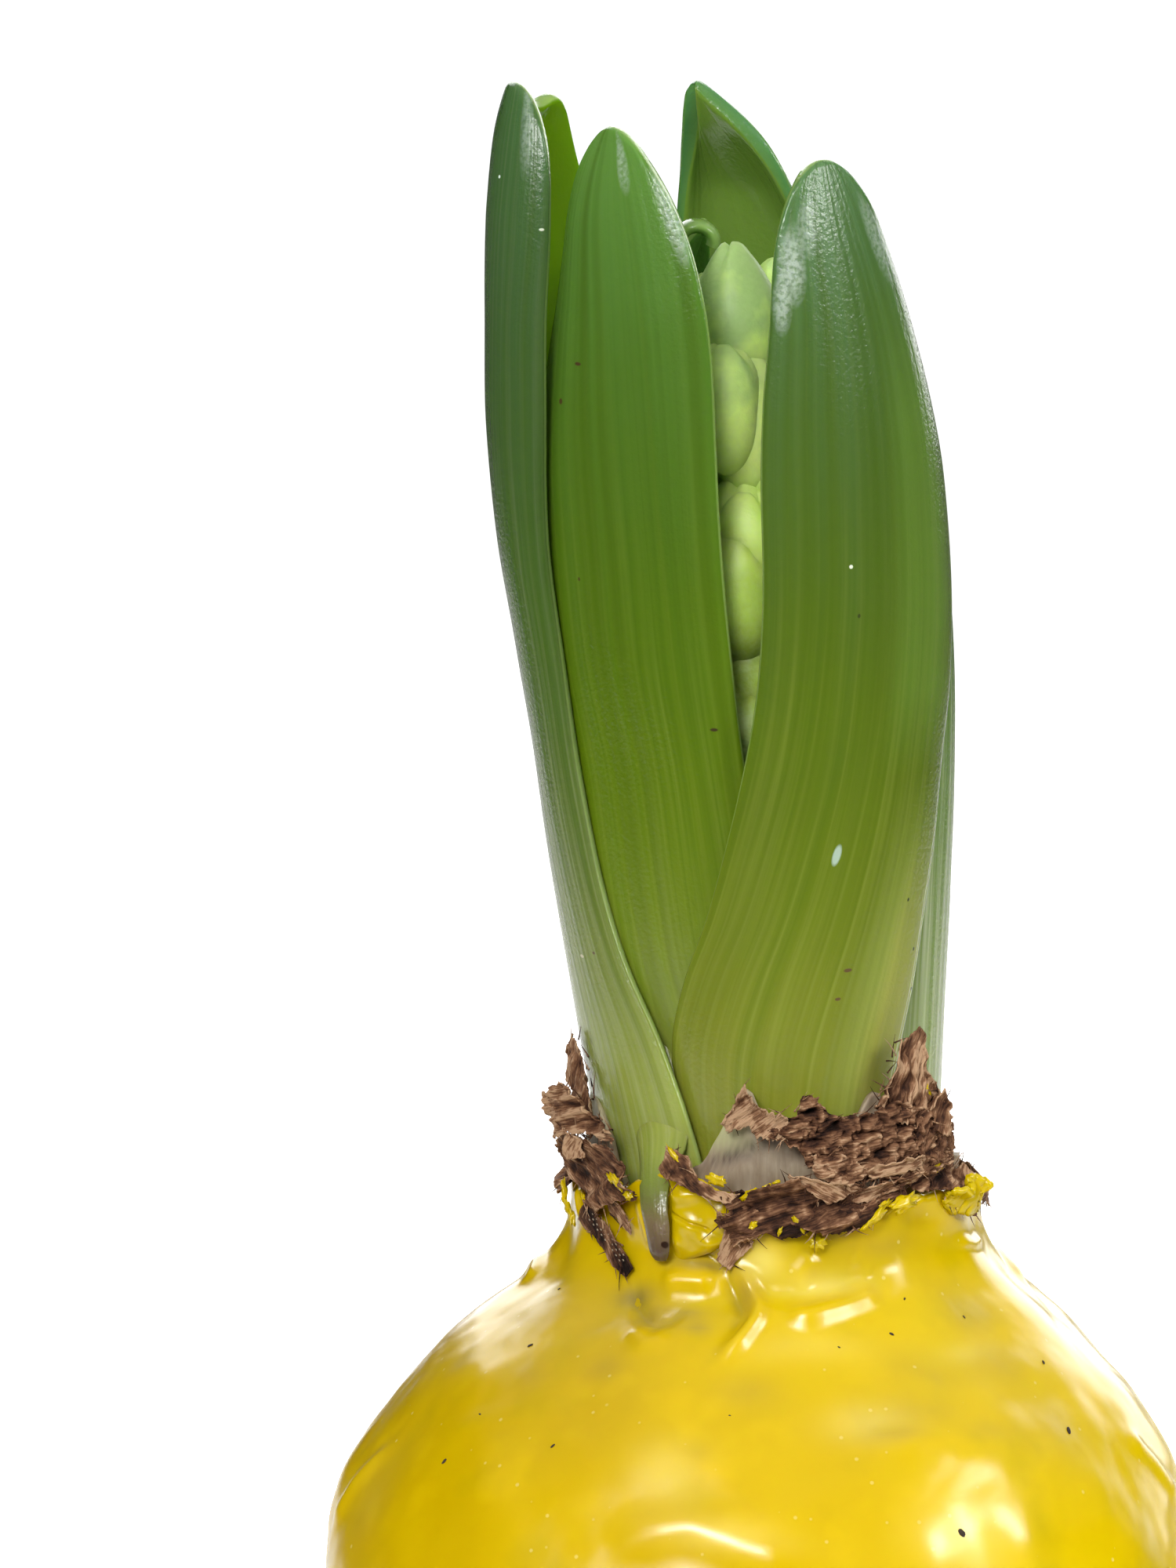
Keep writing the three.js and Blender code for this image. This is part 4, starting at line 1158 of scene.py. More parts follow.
def hoodCorner(u, v):
    # a rounded band bent over an arch
    x, y, z = hoodTable["middle"]
    swing = mix(-hoodTable["tuck"], math.pi + hoodTable["tuck"], u)
    a = 2 * math.pi * v
    grow = hoodTable["thick"] * math.cos(a)
    deep = hoodTable["wide"] * math.sin(a) * (0.75 + 0.25 * math.sin(swing))
    x -= (hoodTable["half"] + grow) * math.cos(swing)
    return Vector((x, y + deep, z + (hoodTable["high"] + grow) * math.sin(swing)))


hood = sheet("leafHood", 40, 24, hoodCorner)
setMap(hood, "veins", lambda u, v, corner: (2.2 * v, 118 + 10 * math.sin(math.pi * u)))
closeSeams(hood)
settle(hood, leafPaint(hoodTable["paint"], 3.0), "leaf")


# Torn brown skin round the neck

skinTable = {
    "grid": 0.11, "gridBehind": 0.16, "thickness": 0.1, "clearance": 0.12,
    "arcRadius": 15.5, "swayRadius": 15,  # where lengths round the neck and angles are turned into each other
    "strands": 1.1,  # loose strands in each millimetre of edge
    "strandRadius": 0.075,
    # the sizes of folds, the finest last: height, length, spacing, octaves
    "folded": [(0.6, 5.5, 1.5, 1), (0.3, 2.4, 0.7, 2), (0.14, 1.6, 0.3, 2)],
    "felted": [(0.5, 2.4, 1.3, 2), (0.34, 0.9, 0.6, 2), (0.2, 0.45, 0.35, 2)],
}
# Each flake: its lower and its upper edge, as points of angle, height and distance off what it lies on.
# "folds" tells how far it crumples, the slant of its folds in degrees, how ragged it is, how far its top
# curls out and how pale it is. Some are felted rather than folded.
flakes = {
    "skinLeft": [
        {"low": [(194, 62.9, 2.2), (198, 62.5, 2.6), (203, 62.8, 2.7), (210, 63.2, 1.8), (218, 62.6, 0.8)],
         "top": [(192.2, 63.8, 2.4), (195.4, 65.7, 2.8), (200, 66.1, 3.0), (204.4, 66.5, 2.9),
                 (208.3, 65.9, 2.4), (211, 64.8, 1.7), (218, 63.4, 0.9)],
         "folds": (0.75, 15, 0.3, 0.5, 0.16)},
        {"low": [(184, 66.2, 1.2), (188, 65.3, 1.1), (192, 64.6, 1.0), (197, 63.6, 0.7), (204, 62.4, 0.5)],
         "top": [(183, 68.0, 1.2), (187, 69.2, 1.1), (191, 69.6, 0.9), (195, 68.0, 0.6), (200, 66.0, 0.4),
                 (206, 63.6, 0.4)],
         "folds": (0.5, 70, 0.25, 0.2, 0.06)},
        {"low": [(198.5, 61.9, 2.3), (203.5, 61.0, 2.5), (209.4, 61.3, 1.9)],
         "top": [(198, 62.8, 2.4), (203, 63.2, 2.6), (208, 62.9, 2.0)],
         "folds": (0.4, 60, 0.2, 0.3, 0.2)},
        {"low": [(188, 58.6, 1.2), (191.9, 59.5, 1.5), (196, 59.0, 1.3), (201, 58.4, 1.0), (206, 57.8, 0.6),
                 (212, 57.4, 0.5), (217.6, 57.9, 0.5), (222.4, 58.5, 0.6), (226.8, 58.9, 0.6),
                 (230, 59.0, 0.5)],
         "top": [(188, 60.9, 1.6), (193, 62.0, 1.8), (200, 62.6, 1.8), (208, 62.8, 1.5), (214.9, 62.6, 1.2),
                 (218, 62.0, 1.1), (222.1, 61.6, 1.1), (226, 60.9, 1.1), (231.5, 59.8, 1.1)],
         "folds": (0.5, -28, 0.22, 0.3, -0.05)},
        {"low": [(203, 56.4, 0.15), (208, 55.7, 0.15), (214.8, 54.8, 0.15), (221, 53.7, 0.15),
                 (227, 53.1, 0.1)],
         "top": [(205, 58.2, 0.4), (211, 57.3, 0.3), (218, 56.1, 0.25), (224, 54.9, 0.25), (229, 53.9, 0.2)],
         "folds": (0.12, -45, 0.08, 0.0, -0.06)},
        {"low": [(217, 57.6, 0.2), (221, 57.2, 0.25), (224, 56.7, 0.25), (227, 56.2, 0.2)],
         "top": [(217, 59.0, 0.4), (222, 58.7, 0.5), (225.5, 57.8, 0.4), (227.6, 56.7, 0.3)],
         "folds": (0.08, -45, 0.08, 0.0, 0.1)},
        {"low": [(160, 57.6, 0.5), (168, 57.2, 0.6), (180, 57.4, 0.6), (190, 57.8, 0.5)],
         "top": [(158, 59.4, 0.7), (168, 60.8, 0.9), (180, 60.4, 0.9), (190, 60.8, 1.0)],
         "folds": (0.6, 10, 0.4, 0.3, 0.0)},
    ],
    "skinFront": [
        # the lower layer, with long folds that sweep up to the right
        {"low": [(257, 56.2, 0.4), (261.5, 56.7, 0.5), (266.5, 57.1, 0.5), (270.5, 56.8, 0.6),
                 (275.5, 56.9, 0.7), (281.6, 57.2, 0.9), (289.9, 57.2, 0.9), (295, 57.9, 0.8),
                 (300, 59.0, 0.7), (306, 59.3, 0.6)],
         "top": [(257.6, 59.3, 0.9), (260, 59.9, 1.1), (263.5, 60.2, 1.3), (267.5, 60.6, 1.6),
                 (272.9, 61.3, 1.8), (279.7, 60.9, 1.8), (290.2, 60.3, 1.6), (296.9, 60.1, 1.4),
                 (306, 60.0, 1.0)],
         "folds": (0.7, 14, 0.28, 0.2, -0.14)},
        # felted mass under the leaves
        {"low": [(266.9, 64.1, 1.0), (271.5, 63.9, 1.2), (276.6, 63.3, 1.5), (278.2, 62.2, 1.7),
                 (280.7, 61.3, 1.8), (283.8, 60.8, 1.9), (290.2, 60.5, 1.9), (293.5, 60.8, 1.7),
                 (299.2, 60.5, 1.6), (306.5, 60.5, 1.6), (314.8, 60.7, 1.5), (320, 61.0, 1.3),
                 (326, 61.6, 0.9)],
         "top": [(266.9, 64.9, 1.0), (268.9, 65.5, 1.0), (272, 65.2, 1.1), (274.9, 65.8, 1.3),
                 (276.5, 67.1, 1.4), (280.2, 67.0, 1.5), (281.7, 66.2, 1.4), (285.2, 65.5, 1.3),
                 (289, 65.4, 1.3), (293.4, 65.7, 1.3), (298.3, 65.6, 1.3), (302.7, 66.2, 1.3),
                 (309, 66.0, 1.3), (314.6, 65.5, 1.3), (320, 65.3, 1.2), (325, 63.6, 0.9)],
         "folds": (0.85, 8, 0.25, 0.0, 0.0), "felted": True},
        # peak of tan strands over the pale scale
        {"low": [(255.4, 64.4, 0.5), (258.5, 64.5, 0.5), (261.6, 64.7, 0.6), (264, 64.1, 0.7),
                 (266.8, 64.0, 0.8), (272.5, 63.9, 0.8)],
         "top": [(255.1, 64.9, 0.6), (257.8, 66.4, 0.8), (260.4, 67.8, 1.1), (262.8, 66.8, 1.1),
                 (266, 66.0, 1.0), (269.3, 65.9, 0.9), (273, 65.3, 0.9)],
         "folds": (0.6, 38, 0.35, 0.3, 0.2)},
        # tan flap that folds forwards
        {"low": [(273.1, 61.2, 1.9), (276, 60.7, 2.1), (279.5, 59.9, 2.3), (282.8, 59.2, 2.4),
                 (286, 59.6, 2.3), (291.5, 60.2, 1.9)],
         "top": [(272.8, 61.6, 1.9), (277, 61.3, 2.2), (282, 61.0, 2.3), (288, 60.8, 2.1),
                 (292.5, 60.5, 1.9)],
         "folds": (0.28, -30, 0.15, 0.2, 0.18)},
        # fuzzy lobe, and the pale strips right of it
        {"low": [(279, 61.7, 1.9), (282, 60.9, 2.2), (286, 60.7, 2.3), (290, 60.7, 2.2), (293.5, 61.0, 1.9)],
         "top": [(278.5, 62.6, 1.7), (282, 62.9, 1.9), (286, 62.8, 2.0), (290, 62.4, 2.0), (294, 61.7, 1.8)],
         "folds": (0.6, 10, 0.3, 0.0, 0.08), "felted": True},
        {"low": [(293.5, 61.0, 1.9), (299, 61.0, 2.0), (304, 61.1, 2.0), (310, 61.5, 1.8)],
         "top": [(293.5, 61.7, 1.9), (299, 62.1, 2.1), (305, 62.2, 2.1), (311, 62.1, 1.8)],
         "folds": (0.4, 8, 0.2, 0.3, 0.14)},
        {"low": [(288, 59.1, 1.5), (294, 59.3, 1.5), (300, 59.6, 1.5), (306, 60.0, 1.5), (312, 60.4, 1.5),
                 (322, 60.8, 1.3)],
         "top": [(288, 60.0, 1.7), (295, 60.3, 1.8), (302, 60.6, 1.8), (308, 60.9, 1.8), (314.7, 61.1, 1.7),
                 (323.5, 61.3, 1.4)],
         "folds": (0.4, 16, 0.15, 0.4, 0.08)},
        # tan lobe at the bottom
        {"low": [(275, 57.9, 1.1), (278, 57.4, 1.2), (281.6, 57.1, 1.3), (285.7, 57.0, 1.3),
                 (289.9, 57.3, 1.1), (293, 58.0, 0.9)],
         "top": [(275, 58.6, 1.4), (280, 59.2, 1.6), (286, 59.1, 1.6), (293, 58.8, 1.3)],
         "folds": (0.45, 20, 0.35, 0.0, -0.02)},
        # left end: dark teeth over the wax lobe, and the film below it
        {"low": [(253.5, 57.9, 1.1), (256.5, 57.2, 0.9), (259, 56.4, 0.5), (263, 56.4, 0.5)],
         "top": [(254, 58.3, 1.2), (257, 59.0, 1.3), (260, 59.2, 1.1), (264, 58.6, 1.0)],
         "folds": (0.5, 20, 0.6, 0.0, -0.08)},
        {"low": [(253.2, 54.9, 0.1), (257, 54.3, 0.12), (260.5, 55.4, 0.15), (263, 56.2, 0.2)],
         "top": [(256.2, 57.4, 0.4), (258.5, 57.6, 0.4), (261, 57.4, 0.3), (264, 57.2, 0.3)],
         "folds": (0.15, 60, 0.2, 0.0, 0.08)},
        # grey-brown film along the top of the wax lobe
        {"low": [(238.2, 61.6, 1.3), (241, 61.1, 1.5), (244.5, 60.6, 1.5), (248, 60.2, 1.5),
                 (252.8, 59.7, 1.5), (258.5, 59.3, 1.3)],
         "top": [(238.0, 63.0, 1.2), (241, 62.8, 1.0), (244.5, 62.4, 0.8), (246.5, 61.6, 0.9),
                 (250, 60.8, 1.1), (254, 60.3, 1.3), (259.5, 59.9, 1.2)],
         "folds": (0.2, -35, 0.15, 0.1, 0.2)},
    ],
    "skinRight": [
        {"low": [(299.5, 65.2, 0.8), (303, 64.8, 1.0), (306, 64.6, 1.1), (309, 64.3, 1.2), (313, 64.2, 1.2),
                 (317, 64.0, 1.2), (321, 63.6, 1.0)],
         "top": [(298.3, 65.9, 0.7), (301, 67.2, 0.8), (304, 68.7, 0.9), (305.7, 70.2, 0.9),
                 (308, 71.0, 1.1), (311, 71.5, 1.2), (313.5, 70.8, 1.0), (314.8, 68.5, 0.9),
                 (317, 67.3, 1.0), (321, 66.3, 1.0)],
         "folds": (0.8, 76, 0.35, 0.4, 0.08)},
        {"low": [(308, 62.2, 1.8), (314, 61.8, 1.8), (320, 61.6, 1.5), (327, 61.4, 1.0)],
         "top": [(308, 64.4, 1.6), (314, 65.6, 1.6), (320, 65.8, 1.5), (326, 64.6, 1.0)],
         "folds": (0.8, 60, 0.5, 0.0, 0.0), "felted": True},
        {"low": [(308, 59.9, 1.0), (314, 59.6, 1.0), (320, 59.4, 0.9), (327, 59.3, 0.6), (333, 59.2, 0.4)],
         "top": [(308, 61.6, 1.4), (314, 62.0, 1.4), (320, 62.2, 1.2), (327, 61.9, 0.8), (333, 60.6, 0.5)],
         "folds": (0.6, 20, 0.3, 0.0, -0.06)},
        {"low": [(315.6, 64.6, 2.0), (317.5, 63.7, 2.2), (319.8, 63.3, 2.3)],
         "top": [(313.8, 65.8, 1.9), (317.4, 67.1, 2.2), (320.6, 65.6, 2.3)],
         "folds": (0.4, 70, 0.2, 0.3, 0.1)},
        {"low": [(322, 58.4, 0.2), (328, 57.8, 0.3), (334, 56.9, 0.7), (336, 56.8, 0.8)],
         "top": [(322, 60.3, 0.4), (326, 60.9, 0.7), (329, 60.5, 0.9), (332, 60.7, 1.2), (335.5, 60.0, 1.4)],
         "folds": (0.15, 60, 0.2, 0.3, 0.2)},
        {"low": [(332, 57.6, 0.2), (340, 57.4, 0.2), (348, 57.2, 0.2), (360, 56.6, 0.2), (372, 56.8, 0.2),
                 (384, 57.4, 0.2)],
         "top": [(332, 59.2, 0.3), (340, 58.9, 0.3), (348, 58.6, 0.3), (360, 58.6, 0.3), (372, 58.9, 0.4),
                 (384, 59.0, 0.4)],
         "folds": (0.35, 10, 0.5, 0.2, 0.0)},
    ],
    "skinBack": [
        {"low": [(36, 57.4, 0.4), (46, 56.8, 0.6), (58, 56.6, 0.7), (70, 56.8, 0.7), (82, 57.4, 0.5)],
         "top": [(36, 60.0, 0.7), (46, 61.8, 1.2), (58, 63.6, 1.5), (70, 61.8, 1.2), (82, 60.6, 0.8)],
         "folds": (0.7, 15, 0.5, 0.4, 0.0)},
        {"low": [(74, 58.6, 0.5), (86, 57.4, 0.8), (98, 57.6, 0.9), (110, 58.4, 0.6)],
         "top": [(74, 61.0, 0.8), (86, 63.0, 1.3), (98, 62.4, 1.4), (110, 60.8, 0.8)],
         "folds": (0.7, -12, 0.5, 0.4, 0.06)},
        {"low": [(102, 57.2, 0.5), (112, 56.8, 0.7), (122, 56.6, 0.8), (134, 57.0, 0.7), (148, 58.0, 0.4)],
         "top": [(102, 60.4, 0.8), (112, 62.4, 1.3), (122, 64.8, 1.5), (134, 62.0, 1.2), (148, 60.2, 0.6)],
         "folds": (0.7, 20, 0.5, 0.4, 0.0)},
    ],
}


def seat(angle, z):
    # what the skin lies on: the wax up to its rim, then the neck
    onWax = waxRadius(z) + max(0.0, waxSwell(angle, z)) + 0.2
    rim = finishedRim(angle)
    return mix(onWax, collarRadius(z), ease(rim + 0.2, rim + 1.9, z))


def onSeat(angle, z, off):
    return polar(angle, seat(angle, z) + off, z, axisShift(z))


def walk(edge):
    # gives a function that finds the point at a share of an edge's length, and that length in millimetres
    marks = [0.0]
    for a, b in zip(edge, edge[1:]):
        arc = math.radians(b[0] - a[0]) * skinTable["arcRadius"]
        marks.append(marks[-1] + math.hypot(arc, b[1] - a[1]))

    def pointAt(share):
        at = share * marks[-1]
        k = 0
        while k < len(marks) - 2 and marks[k + 1] < at:
            k += 1
        t = (at - marks[k]) / (marks[k + 1] - marks[k])
        return [mix(a, b, t) for a, b in zip(edge[k], edge[k + 1])]

    return pointAt, marks[-1]


def foldAt(p, q, seed, sizes):
    # sharp folds, about -1 to 1: long along p, close together along q; the finest are rounded
    value = 0.0
    for k, (height, long, short, octaves) in enumerate(sizes):
        wave = rough(p / long, q / short, seed + 20 * k, octaves)
        value += height * (wave if k == len(sizes) - 1 else 1 - 2.2 * abs(wave))
    return value


def makeFlake(name, plan, seed):
    (lowAt, lowLength), (topAt, topLength) = walk(plan["low"]), walk(plan["top"])
    wide = max(lowLength, topLength)
    tall = max(walk([lowAt(k / 8), topAt(k / 8)])[1] for k in range(9))
    crumple, slant, ragged, curl, pale = plan["folds"]
    sizes = skinTable["felted" if plan.get("felted") else "folded"]
    folds, edges, spots = [], [], []
    grid = skinTable["gridBehind" if name == "skinBack" else "grid"]
    across, up = max(10, round(wide / grid)), max(8, round(tall / grid))

    def place(u, v):
        a0, z0, out0 = lowAt(u)
        a1, z1, out1 = topAt(u)
        z0 -= ragged * rough(u * wide * 1.3, seed, 1.0, 5)
        z1 += ragged * 1.3 * rough(u * wide * 1.3, seed, 5.0, 5)
        angle, z = mix(a0, a1, v), mix(z0, z1, v)
        sideways = ragged * 1.2 * rough(v * tall * 1.3, seed, 9.0, 4)
        angle += math.degrees(sideways / skinTable["arcRadius"]) * (1 - ease(0, 0.2, min(u, 1 - u)))
        arc = math.radians(angle) * skinTable["arcRadius"]
        p, q = turned(arc, z, -math.radians(slant))
        fold = foldAt(p, q, seed * 2.7, sizes)
        off = mix(out0, out1, v) + crumple * fold + curl * ease(0.7, 1, v) ** 2
        sway = crumple * 0.5 * rough(p / 1.8, q / 1.2, seed * 0.9 + 11, 2)
        # painted shade and light: darker where the fold sinks in, lighter where it stands out; pale adds the
        # flake's own tan
        folds.append(clamp01(0.5 + 0.5 * fold + pale))
        edges.append(1 - ease(0, 0.35, min(v * tall, (1 - v) * tall, u * wide, (1 - u) * wide)))
        spots.append((p, q))
        r = seat(angle, z) + max(off, skinTable["clearance"])
        return polar(angle + math.degrees(sway / skinTable["swayRadius"]), r, z + 0.5 * sway, axisShift(z))

    flake = sheet(name, across, up, place)
    store(flake, "fold", folds)
    store(flake, "edge", edges)
    setMap(flake, "fibres", lambda u, v, corner: spots[corner])
    modify(flake, "SOLIDIFY", thickness=skinTable["thickness"] * mm, offset=0.0)
    return flake


def makeStrands(plan, seed):
    # frayed fibres that stand off the flake's edges
    random.seed(seed)
    strands = []
    for edge, upward in ((plan["low"], -1), (plan["top"], 1)):
        pointAt, length = walk(edge)
        for _ in range(round(length * skinTable["strands"])):
            angle, z, off = pointAt(random.random())
            start = onSeat(angle, z, off + random.uniform(-0.05, 0.2))
            outward, aside = facing(angle)
            long = random.uniform(0.35, 1.3)
            lead = (Vector((0, 0, upward * random.uniform(0.1, 1.0))) + aside * random.uniform(-1, 1)
                    + outward * random.uniform(-0.1, 0.6)).normalized()
            bend = (aside * random.uniform(-1, 1) + Vector((0, 0, random.uniform(-1, 1)))) * 0.5
            side = lead.cross(outward).normalized()
            face = side.cross(lead)
            strand = copyOf(firstStrand)
            for corner in strand.data.vertices:
                x, y, t = corner.co
                middle = start + lead * (t * (long + 0.4) - 0.4) + bend * (t * t * long)
                corner.co = (middle + (side * x + face * y) * skinTable["strandRadius"]) * mm
            corners = len(strand.data.vertices)
            store(strand, "fold", [random.uniform(0.45, 1.0)] * corners)
            store(strand, "edge", [0.5] * corners)
            strands.append(strand)
    return strands


# 1 mm in radius and height here; each copy is thinned, bent and set in its place
firstStrand = sheet("strand", 5, 6, lambda u, v: polar(360 * u, 1 - 0.85 * v, v) / mm)
firstStrand.data.uv_layers[0].name = "fibres"
closeSeams(firstStrand)

# Dry bulb skin: papery and fibrous, brown, tan where it has frayed; painted shade makes it nearly black in
# the hollows of its folds, and painted light makes their crests lighter
skinPaint, add = newPaint("dryBulbSkin")
fold, edge = (add("Attribute", give="Fac", attribute_name=name) for name in ("fold", "edge"))
where = add("TexCoord", give="Object")
mottle = add("TexNoise", {"Vector": where, "Scale": scaleOf(0.91), "Detail": 4.0})
# fibres 0.12 mm apart, along the map, which is in millimetres
fibreSpace = add("Mapping", {"Vector": add("UVMap", uv_map="fibres"), "Scale": (1.1, 8.5, 1.0)})
fibres = add("TexNoise", {"Vector": fibreSpace, "Scale": 1.0, "Detail": 4.0})
# the painted fold shade, lighter near the frayed edges, with fibres and mottling over it
tone = add("Math", [edge, 0.12, fold], operation="MULTIPLY_ADD")
for pattern, share in ((fibres, 0.8), (mottle, 0.9)):
    centred = add("Math", [pattern, 0.5], operation="SUBTRACT")
    tone = add("Math", [centred, share, tone], operation="MULTIPLY_ADD")
colour = add("ValToRGB", [tone], stops=[
    (0.2, "#120906"), (0.44, "#2e1b13"), (0.66, "#563826"), (0.88, "#866146"), (1.0, "#b29070")])
relief = add("Math", [mottle, 0.7, fibres], operation="MULTIPLY_ADD")
finishPaint(add, {
    "Base Color": colour, "Roughness": 0.7, "Specular IOR Level": 0.14,
    "Normal": add("Bump", {"Height": relief, "Strength": 1.0, "Distance": 0.00022}),
})

for group, (name, plans) in enumerate(flakes.items()):
    made = []
    for k, plan in enumerate(plans):
        made.append(makeFlake(name, plan, 10 * group + k + 1.37))
        made += makeStrands(plan, 100 * group + k)
    settle(join(name, made), skinPaint, "dry_skin", "tunic_" + name[4:].lower())
bpy.data.objects.remove(firstStrand)


# Wax lobe, curl and crumbs at the neck

lobeTable = {
    "low": [(239.8, 54.6, -0.1), (243, 54.5, -0.1), (247, 54.9, -0.1), (251, 55.3, -0.1),
            (254.4, 55.9, -0.1), (257.2, 57.0, -0.1)],
    "top": [(238.6, 61.9, 0.0), (241, 61.3, 0.1), (244.5, 60.8, 0.1), (248, 60.5, 0.1), (252.8, 60.0, 0.1),
            (259.2, 59.8, 0.0)],
    "thick": 1.0,
    "radius": 15.0,
    "sunk": 0.35,
    # angle, height, width, rise
    "bulges": [(246.5, 57.3, 3.2, 0.5), (251.5, 56.2, 2.6, 0.45), (243, 59.6, 3.5, 0.35),
               (254, 58.3, 3, 0.4), (242.5, 56.0, 2.5, 0.3)],
}
lobeLow, lobeTop = walk(lobeTable["low"])[0], walk(lobeTable["top"])[0]


def lobeCorner(u, v):
    # thick soft wax with rounded edges that sink into the coat below
    angle, z, out = (mix(a, b, v) for a, b in zip(lobeLow(u), lobeTop(u)))
    dome = max(0.0, (1 - abs(2 * u - 1) ** 7) * (1 - abs(2 * v - 1) ** 8)) ** 0.4
    swell = 0.28 * rough(math.radians(angle) * skinTable["arcRadius"] / 3.2, z / 2.2, 5.0, 2)
    for at, height, wide, rise in lobeTable["bulges"]:
        swell += rise * math.exp(-(((angle - at) / wide) ** 2 + ((z - height) / (wide * 0.27)) ** 2))
    # the crack across it
    crack = math.exp(-((z - 57.75 + 0.09 * (angle - 245)) / 0.14) ** 2)
    swell -= 0.3 * crack * ease(238, 241, angle) * (1 - ease(250, 252.5, angle))
    r = lobeTable["radius"] + out - lobeTable["sunk"] + (lobeTable["thick"] + swell) * dome
    return polar(angle, r, z, axisShift(z))


lobe = sheet("waxLobe", 90, 70, lobeCorner)
modify(lobe, "SOLIDIFY", thickness=0.3 * mm, offset=-1.0)

curlPlan = {
    "low": [(323, 57.9, -0.1), (326, 57.5, 0.1), (329, 57.3, 0.4), (331.5, 57.0, 0.5), (333.5, 57.3, 0.7)],
    "top": [(322.5, 59.2, 0.4), (325, 59.3, 0.9), (327, 59.0, 1.0), (329, 60.0, 1.3), (331.5, 60.1, 1.5),
            (333, 59.2, 1.5)],
    "folds": (0.34, 60, 0.3, 0.5, 0.0),
}
curl = makeFlake("waxCurl", curlPlan, 71.3)
modify(curl, "SOLIDIFY", thickness=0.2 * mm, offset=1.0)
curl.data.uv_layers.remove(curl.data.uv_layers[0])

crumbTable = [
    # angle, height, distance off, half length, half width, turn in degrees, half thickness
    (304.0, 59.0, 1.5, 1.15, 0.5, 18, 0.3), (295.1, 58.1, 1.1, 1.1, 0.28, 38, 0.2),
    (263.3, 57.6, 0.9, 0.4, 0.25, 60, 0.15), (275.6, 57.7, 1.0, 0.75, 0.2, -50, 0.15),
    (258.2, 57.9, 0.9, 0.8, 0.18, -35, 0.15), (280.8, 56.2, 0.45, 0.55, 0.5, 20, 0.3),
    (253.3, 61.0, 1.3, 0.65, 0.4, -25, 0.15), (315.7, 66.6, 1.4, 0.75, 0.35, 85, 0.25),
    (318.2, 61.0, 1.6, 0.5, 0.35, 20, 0.2), (319, 64.2, 1.5, 0.5, 0.22, 80, 0.2),
    (321, 62.6, 1.2, 0.45, 0.25, 60, 0.2), (222.6, 60.2, 1.3, 0.55, 0.28, -40, 0.12),
    (226.4, 60.2, 1.4, 0.75, 0.22, -50, 0.14), (230.0, 59.4, 1.3, 0.35, 0.3, 0, 0.16),
    (262.6, 59.9, 1.5, 0.75, 0.28, 28, 0.15), (266.6, 60.5, 1.8, 0.5, 0.14, 24, 0.12),
    (269.6, 60.9, 1.9, 0.3, 0.13, 24, 0.12), (240.6, 62.5, 1.4, 0.7, 0.2, -52, 0.12),
    (191, 57.9, 0.5, 1.0, 0.3, -70, 0.2), (196, 56.8, 0.4, 0.8, 0.3, -40, 0.2),
    (199.6, 56.4, 0.4, 0.6, 0.3, -60, 0.22), (203.5, 57.9, 0.9, 0.8, 0.16, -35, 0.12),
    (299.5, 58.9, 1.2, 0.5, 0.2, 30, 0.15), (288, 58.0, 1.5, 0.18, 0.12, 0, 0.08),
    (270.5, 57.3, 0.9, 0.3, 0.14, 70, 0.1),
]


def ball(subdivisions):
    bpy.ops.object.select_all(action="DESELECT")
    bpy.ops.mesh.primitive_ico_sphere_add(subdivisions=subdivisions, radius=1)
    return bpy.context.object


def setGrain(angle, z, off, long, wide, turn, thick, lumpy):
    # a copy of the grain, flattened against the surface
    crumb = copyOf(grain)
    outward, aside = facing(angle)
    length, across = spun(aside, Vector((0, 0, 1)), math.radians(turn))
    middle = onSeat(angle, z, off)
    for corner in crumb.data.vertices:
        x, y, d = corner.co
        lump = 1 + lumpy * rough(1.7 * x + angle, 1.7 * y, 1.7 * d, 3)
        corner.co = (middle + (length * x * long + across * y * wide + outward * d * thick) * lump) * mm
    return crumb


grain = ball(3)
crumbs = [setGrain(*row, lumpy=0.8) for row in crumbTable]
settle(join("waxBits", [lobe, curl] + crumbs), waxPaint, "yellow_wax")

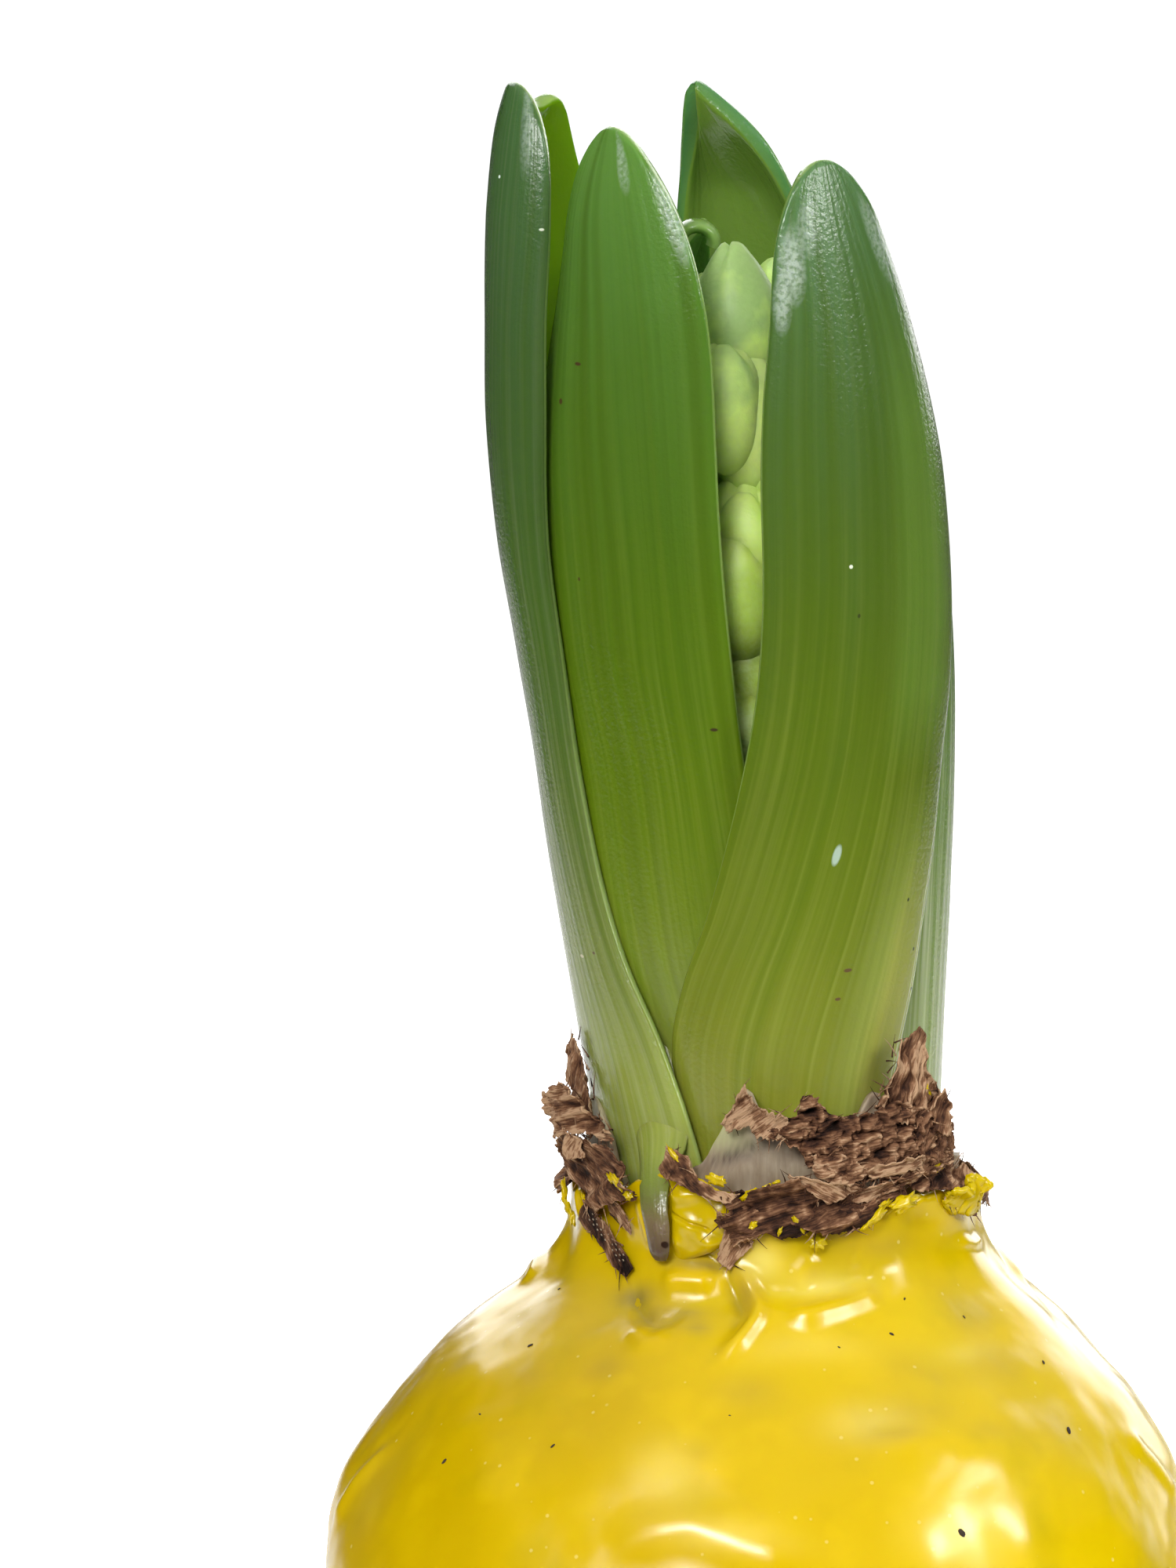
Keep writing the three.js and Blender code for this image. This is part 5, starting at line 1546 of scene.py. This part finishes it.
# Rows of cream dots on the dark strip at the left, which slants down from one angle and height to another
dotTable = {
    "from": (208, 57.0), "to": (226.6, 54.0), "inRow": 9,
    "aside": (-0.22, 0.0, 0.22),  # the rows, in millimetres across the strip
    "dot": (0.3, 0.1, 0.045, -42, 0.05),  # as in the table of crumbs
}
dots = []
for row, aside in enumerate(dotTable["aside"]):
    for k in range(dotTable["inRow"]):
        share = (k + 0.5 * (row % 2) + 0.6) / (dotTable["inRow"] + 1)
        angle, z = (mix(a, b, share) for a, b in zip(dotTable["from"], dotTable["to"]))
        dots.append(setGrain(angle + aside * 2.6, z + aside * 1.05, *dotTable["dot"], lumpy=0.1))
settle(join("paleDots", dots), scalePaint, "bulb_scale")
bpy.data.objects.remove(grain)


# Specks of soil on the wax

speckTable = {
    "shape": (1.3, 0.7, 0.4),  # long, wide, high
    "scale": 0.75,
    # angle, height, radius
    "places": [
        (213.9, 48.0, 0.26), (214.9, 40.4, 0.26), (295.9, 50.0, 0.2), (323.7, 42.5, 0.34),
        (297.4, 37.3, 0.4), (205, 51.4, 0.16), (234, 42.4, 0.2), (216, 43.6, 0.14), (303, 52.0, 0.14),
        (329, 46.6, 0.2), (318, 50.4, 0.16), (283, 49.4, 0.12), (262, 45.2, 0.1), (40, 44, 0.25),
        (75, 38, 0.2), (120, 46, 0.24), (150, 34, 0.2), (100, 30, 0.22), (20, 33, 0.2), (170, 40, 0.2),
    ],
}
grain = ball(2)
specks = []
for angle, z, size in speckTable["places"]:
    speck = copyOf(grain)
    at = waxPlain(angle, z, waxRelief(angle, z))
    _, aside, upward = waxFrame(angle, z)
    outward = aside.cross(upward)
    long, short = spun(aside, upward, random.uniform(0, math.pi))
    length, width, height = speckTable["shape"]
    for corner in speck.data.vertices:
        x, y, d = corner.co
        lump = speckTable["scale"] * size * (1 + 0.3 * rough(x + angle, y, d, 1))
        away = long * x * length + short * y * width + outward * (d * height + 0.15)
        corner.co = (at + away * lump) * mm
    specks.append(speck)
bpy.data.objects.remove(grain)
speckPaint, add = newPaint("darkSoilGrain")  # crumbs of potting soil, dull and nearly black
crumb = add("TexNoise", {"Vector": add("TexCoord", give="Object"), "Scale": scaleOf(0.333)})
soil = layered(add, linear("#17110c"), [([crumb], "#3c2c20")])
finishPaint(add, {"Base Color": soil, "Roughness": 0.85})
settle(join("soilSpecks", specks), speckPaint, "dry_skin")

print("finished")
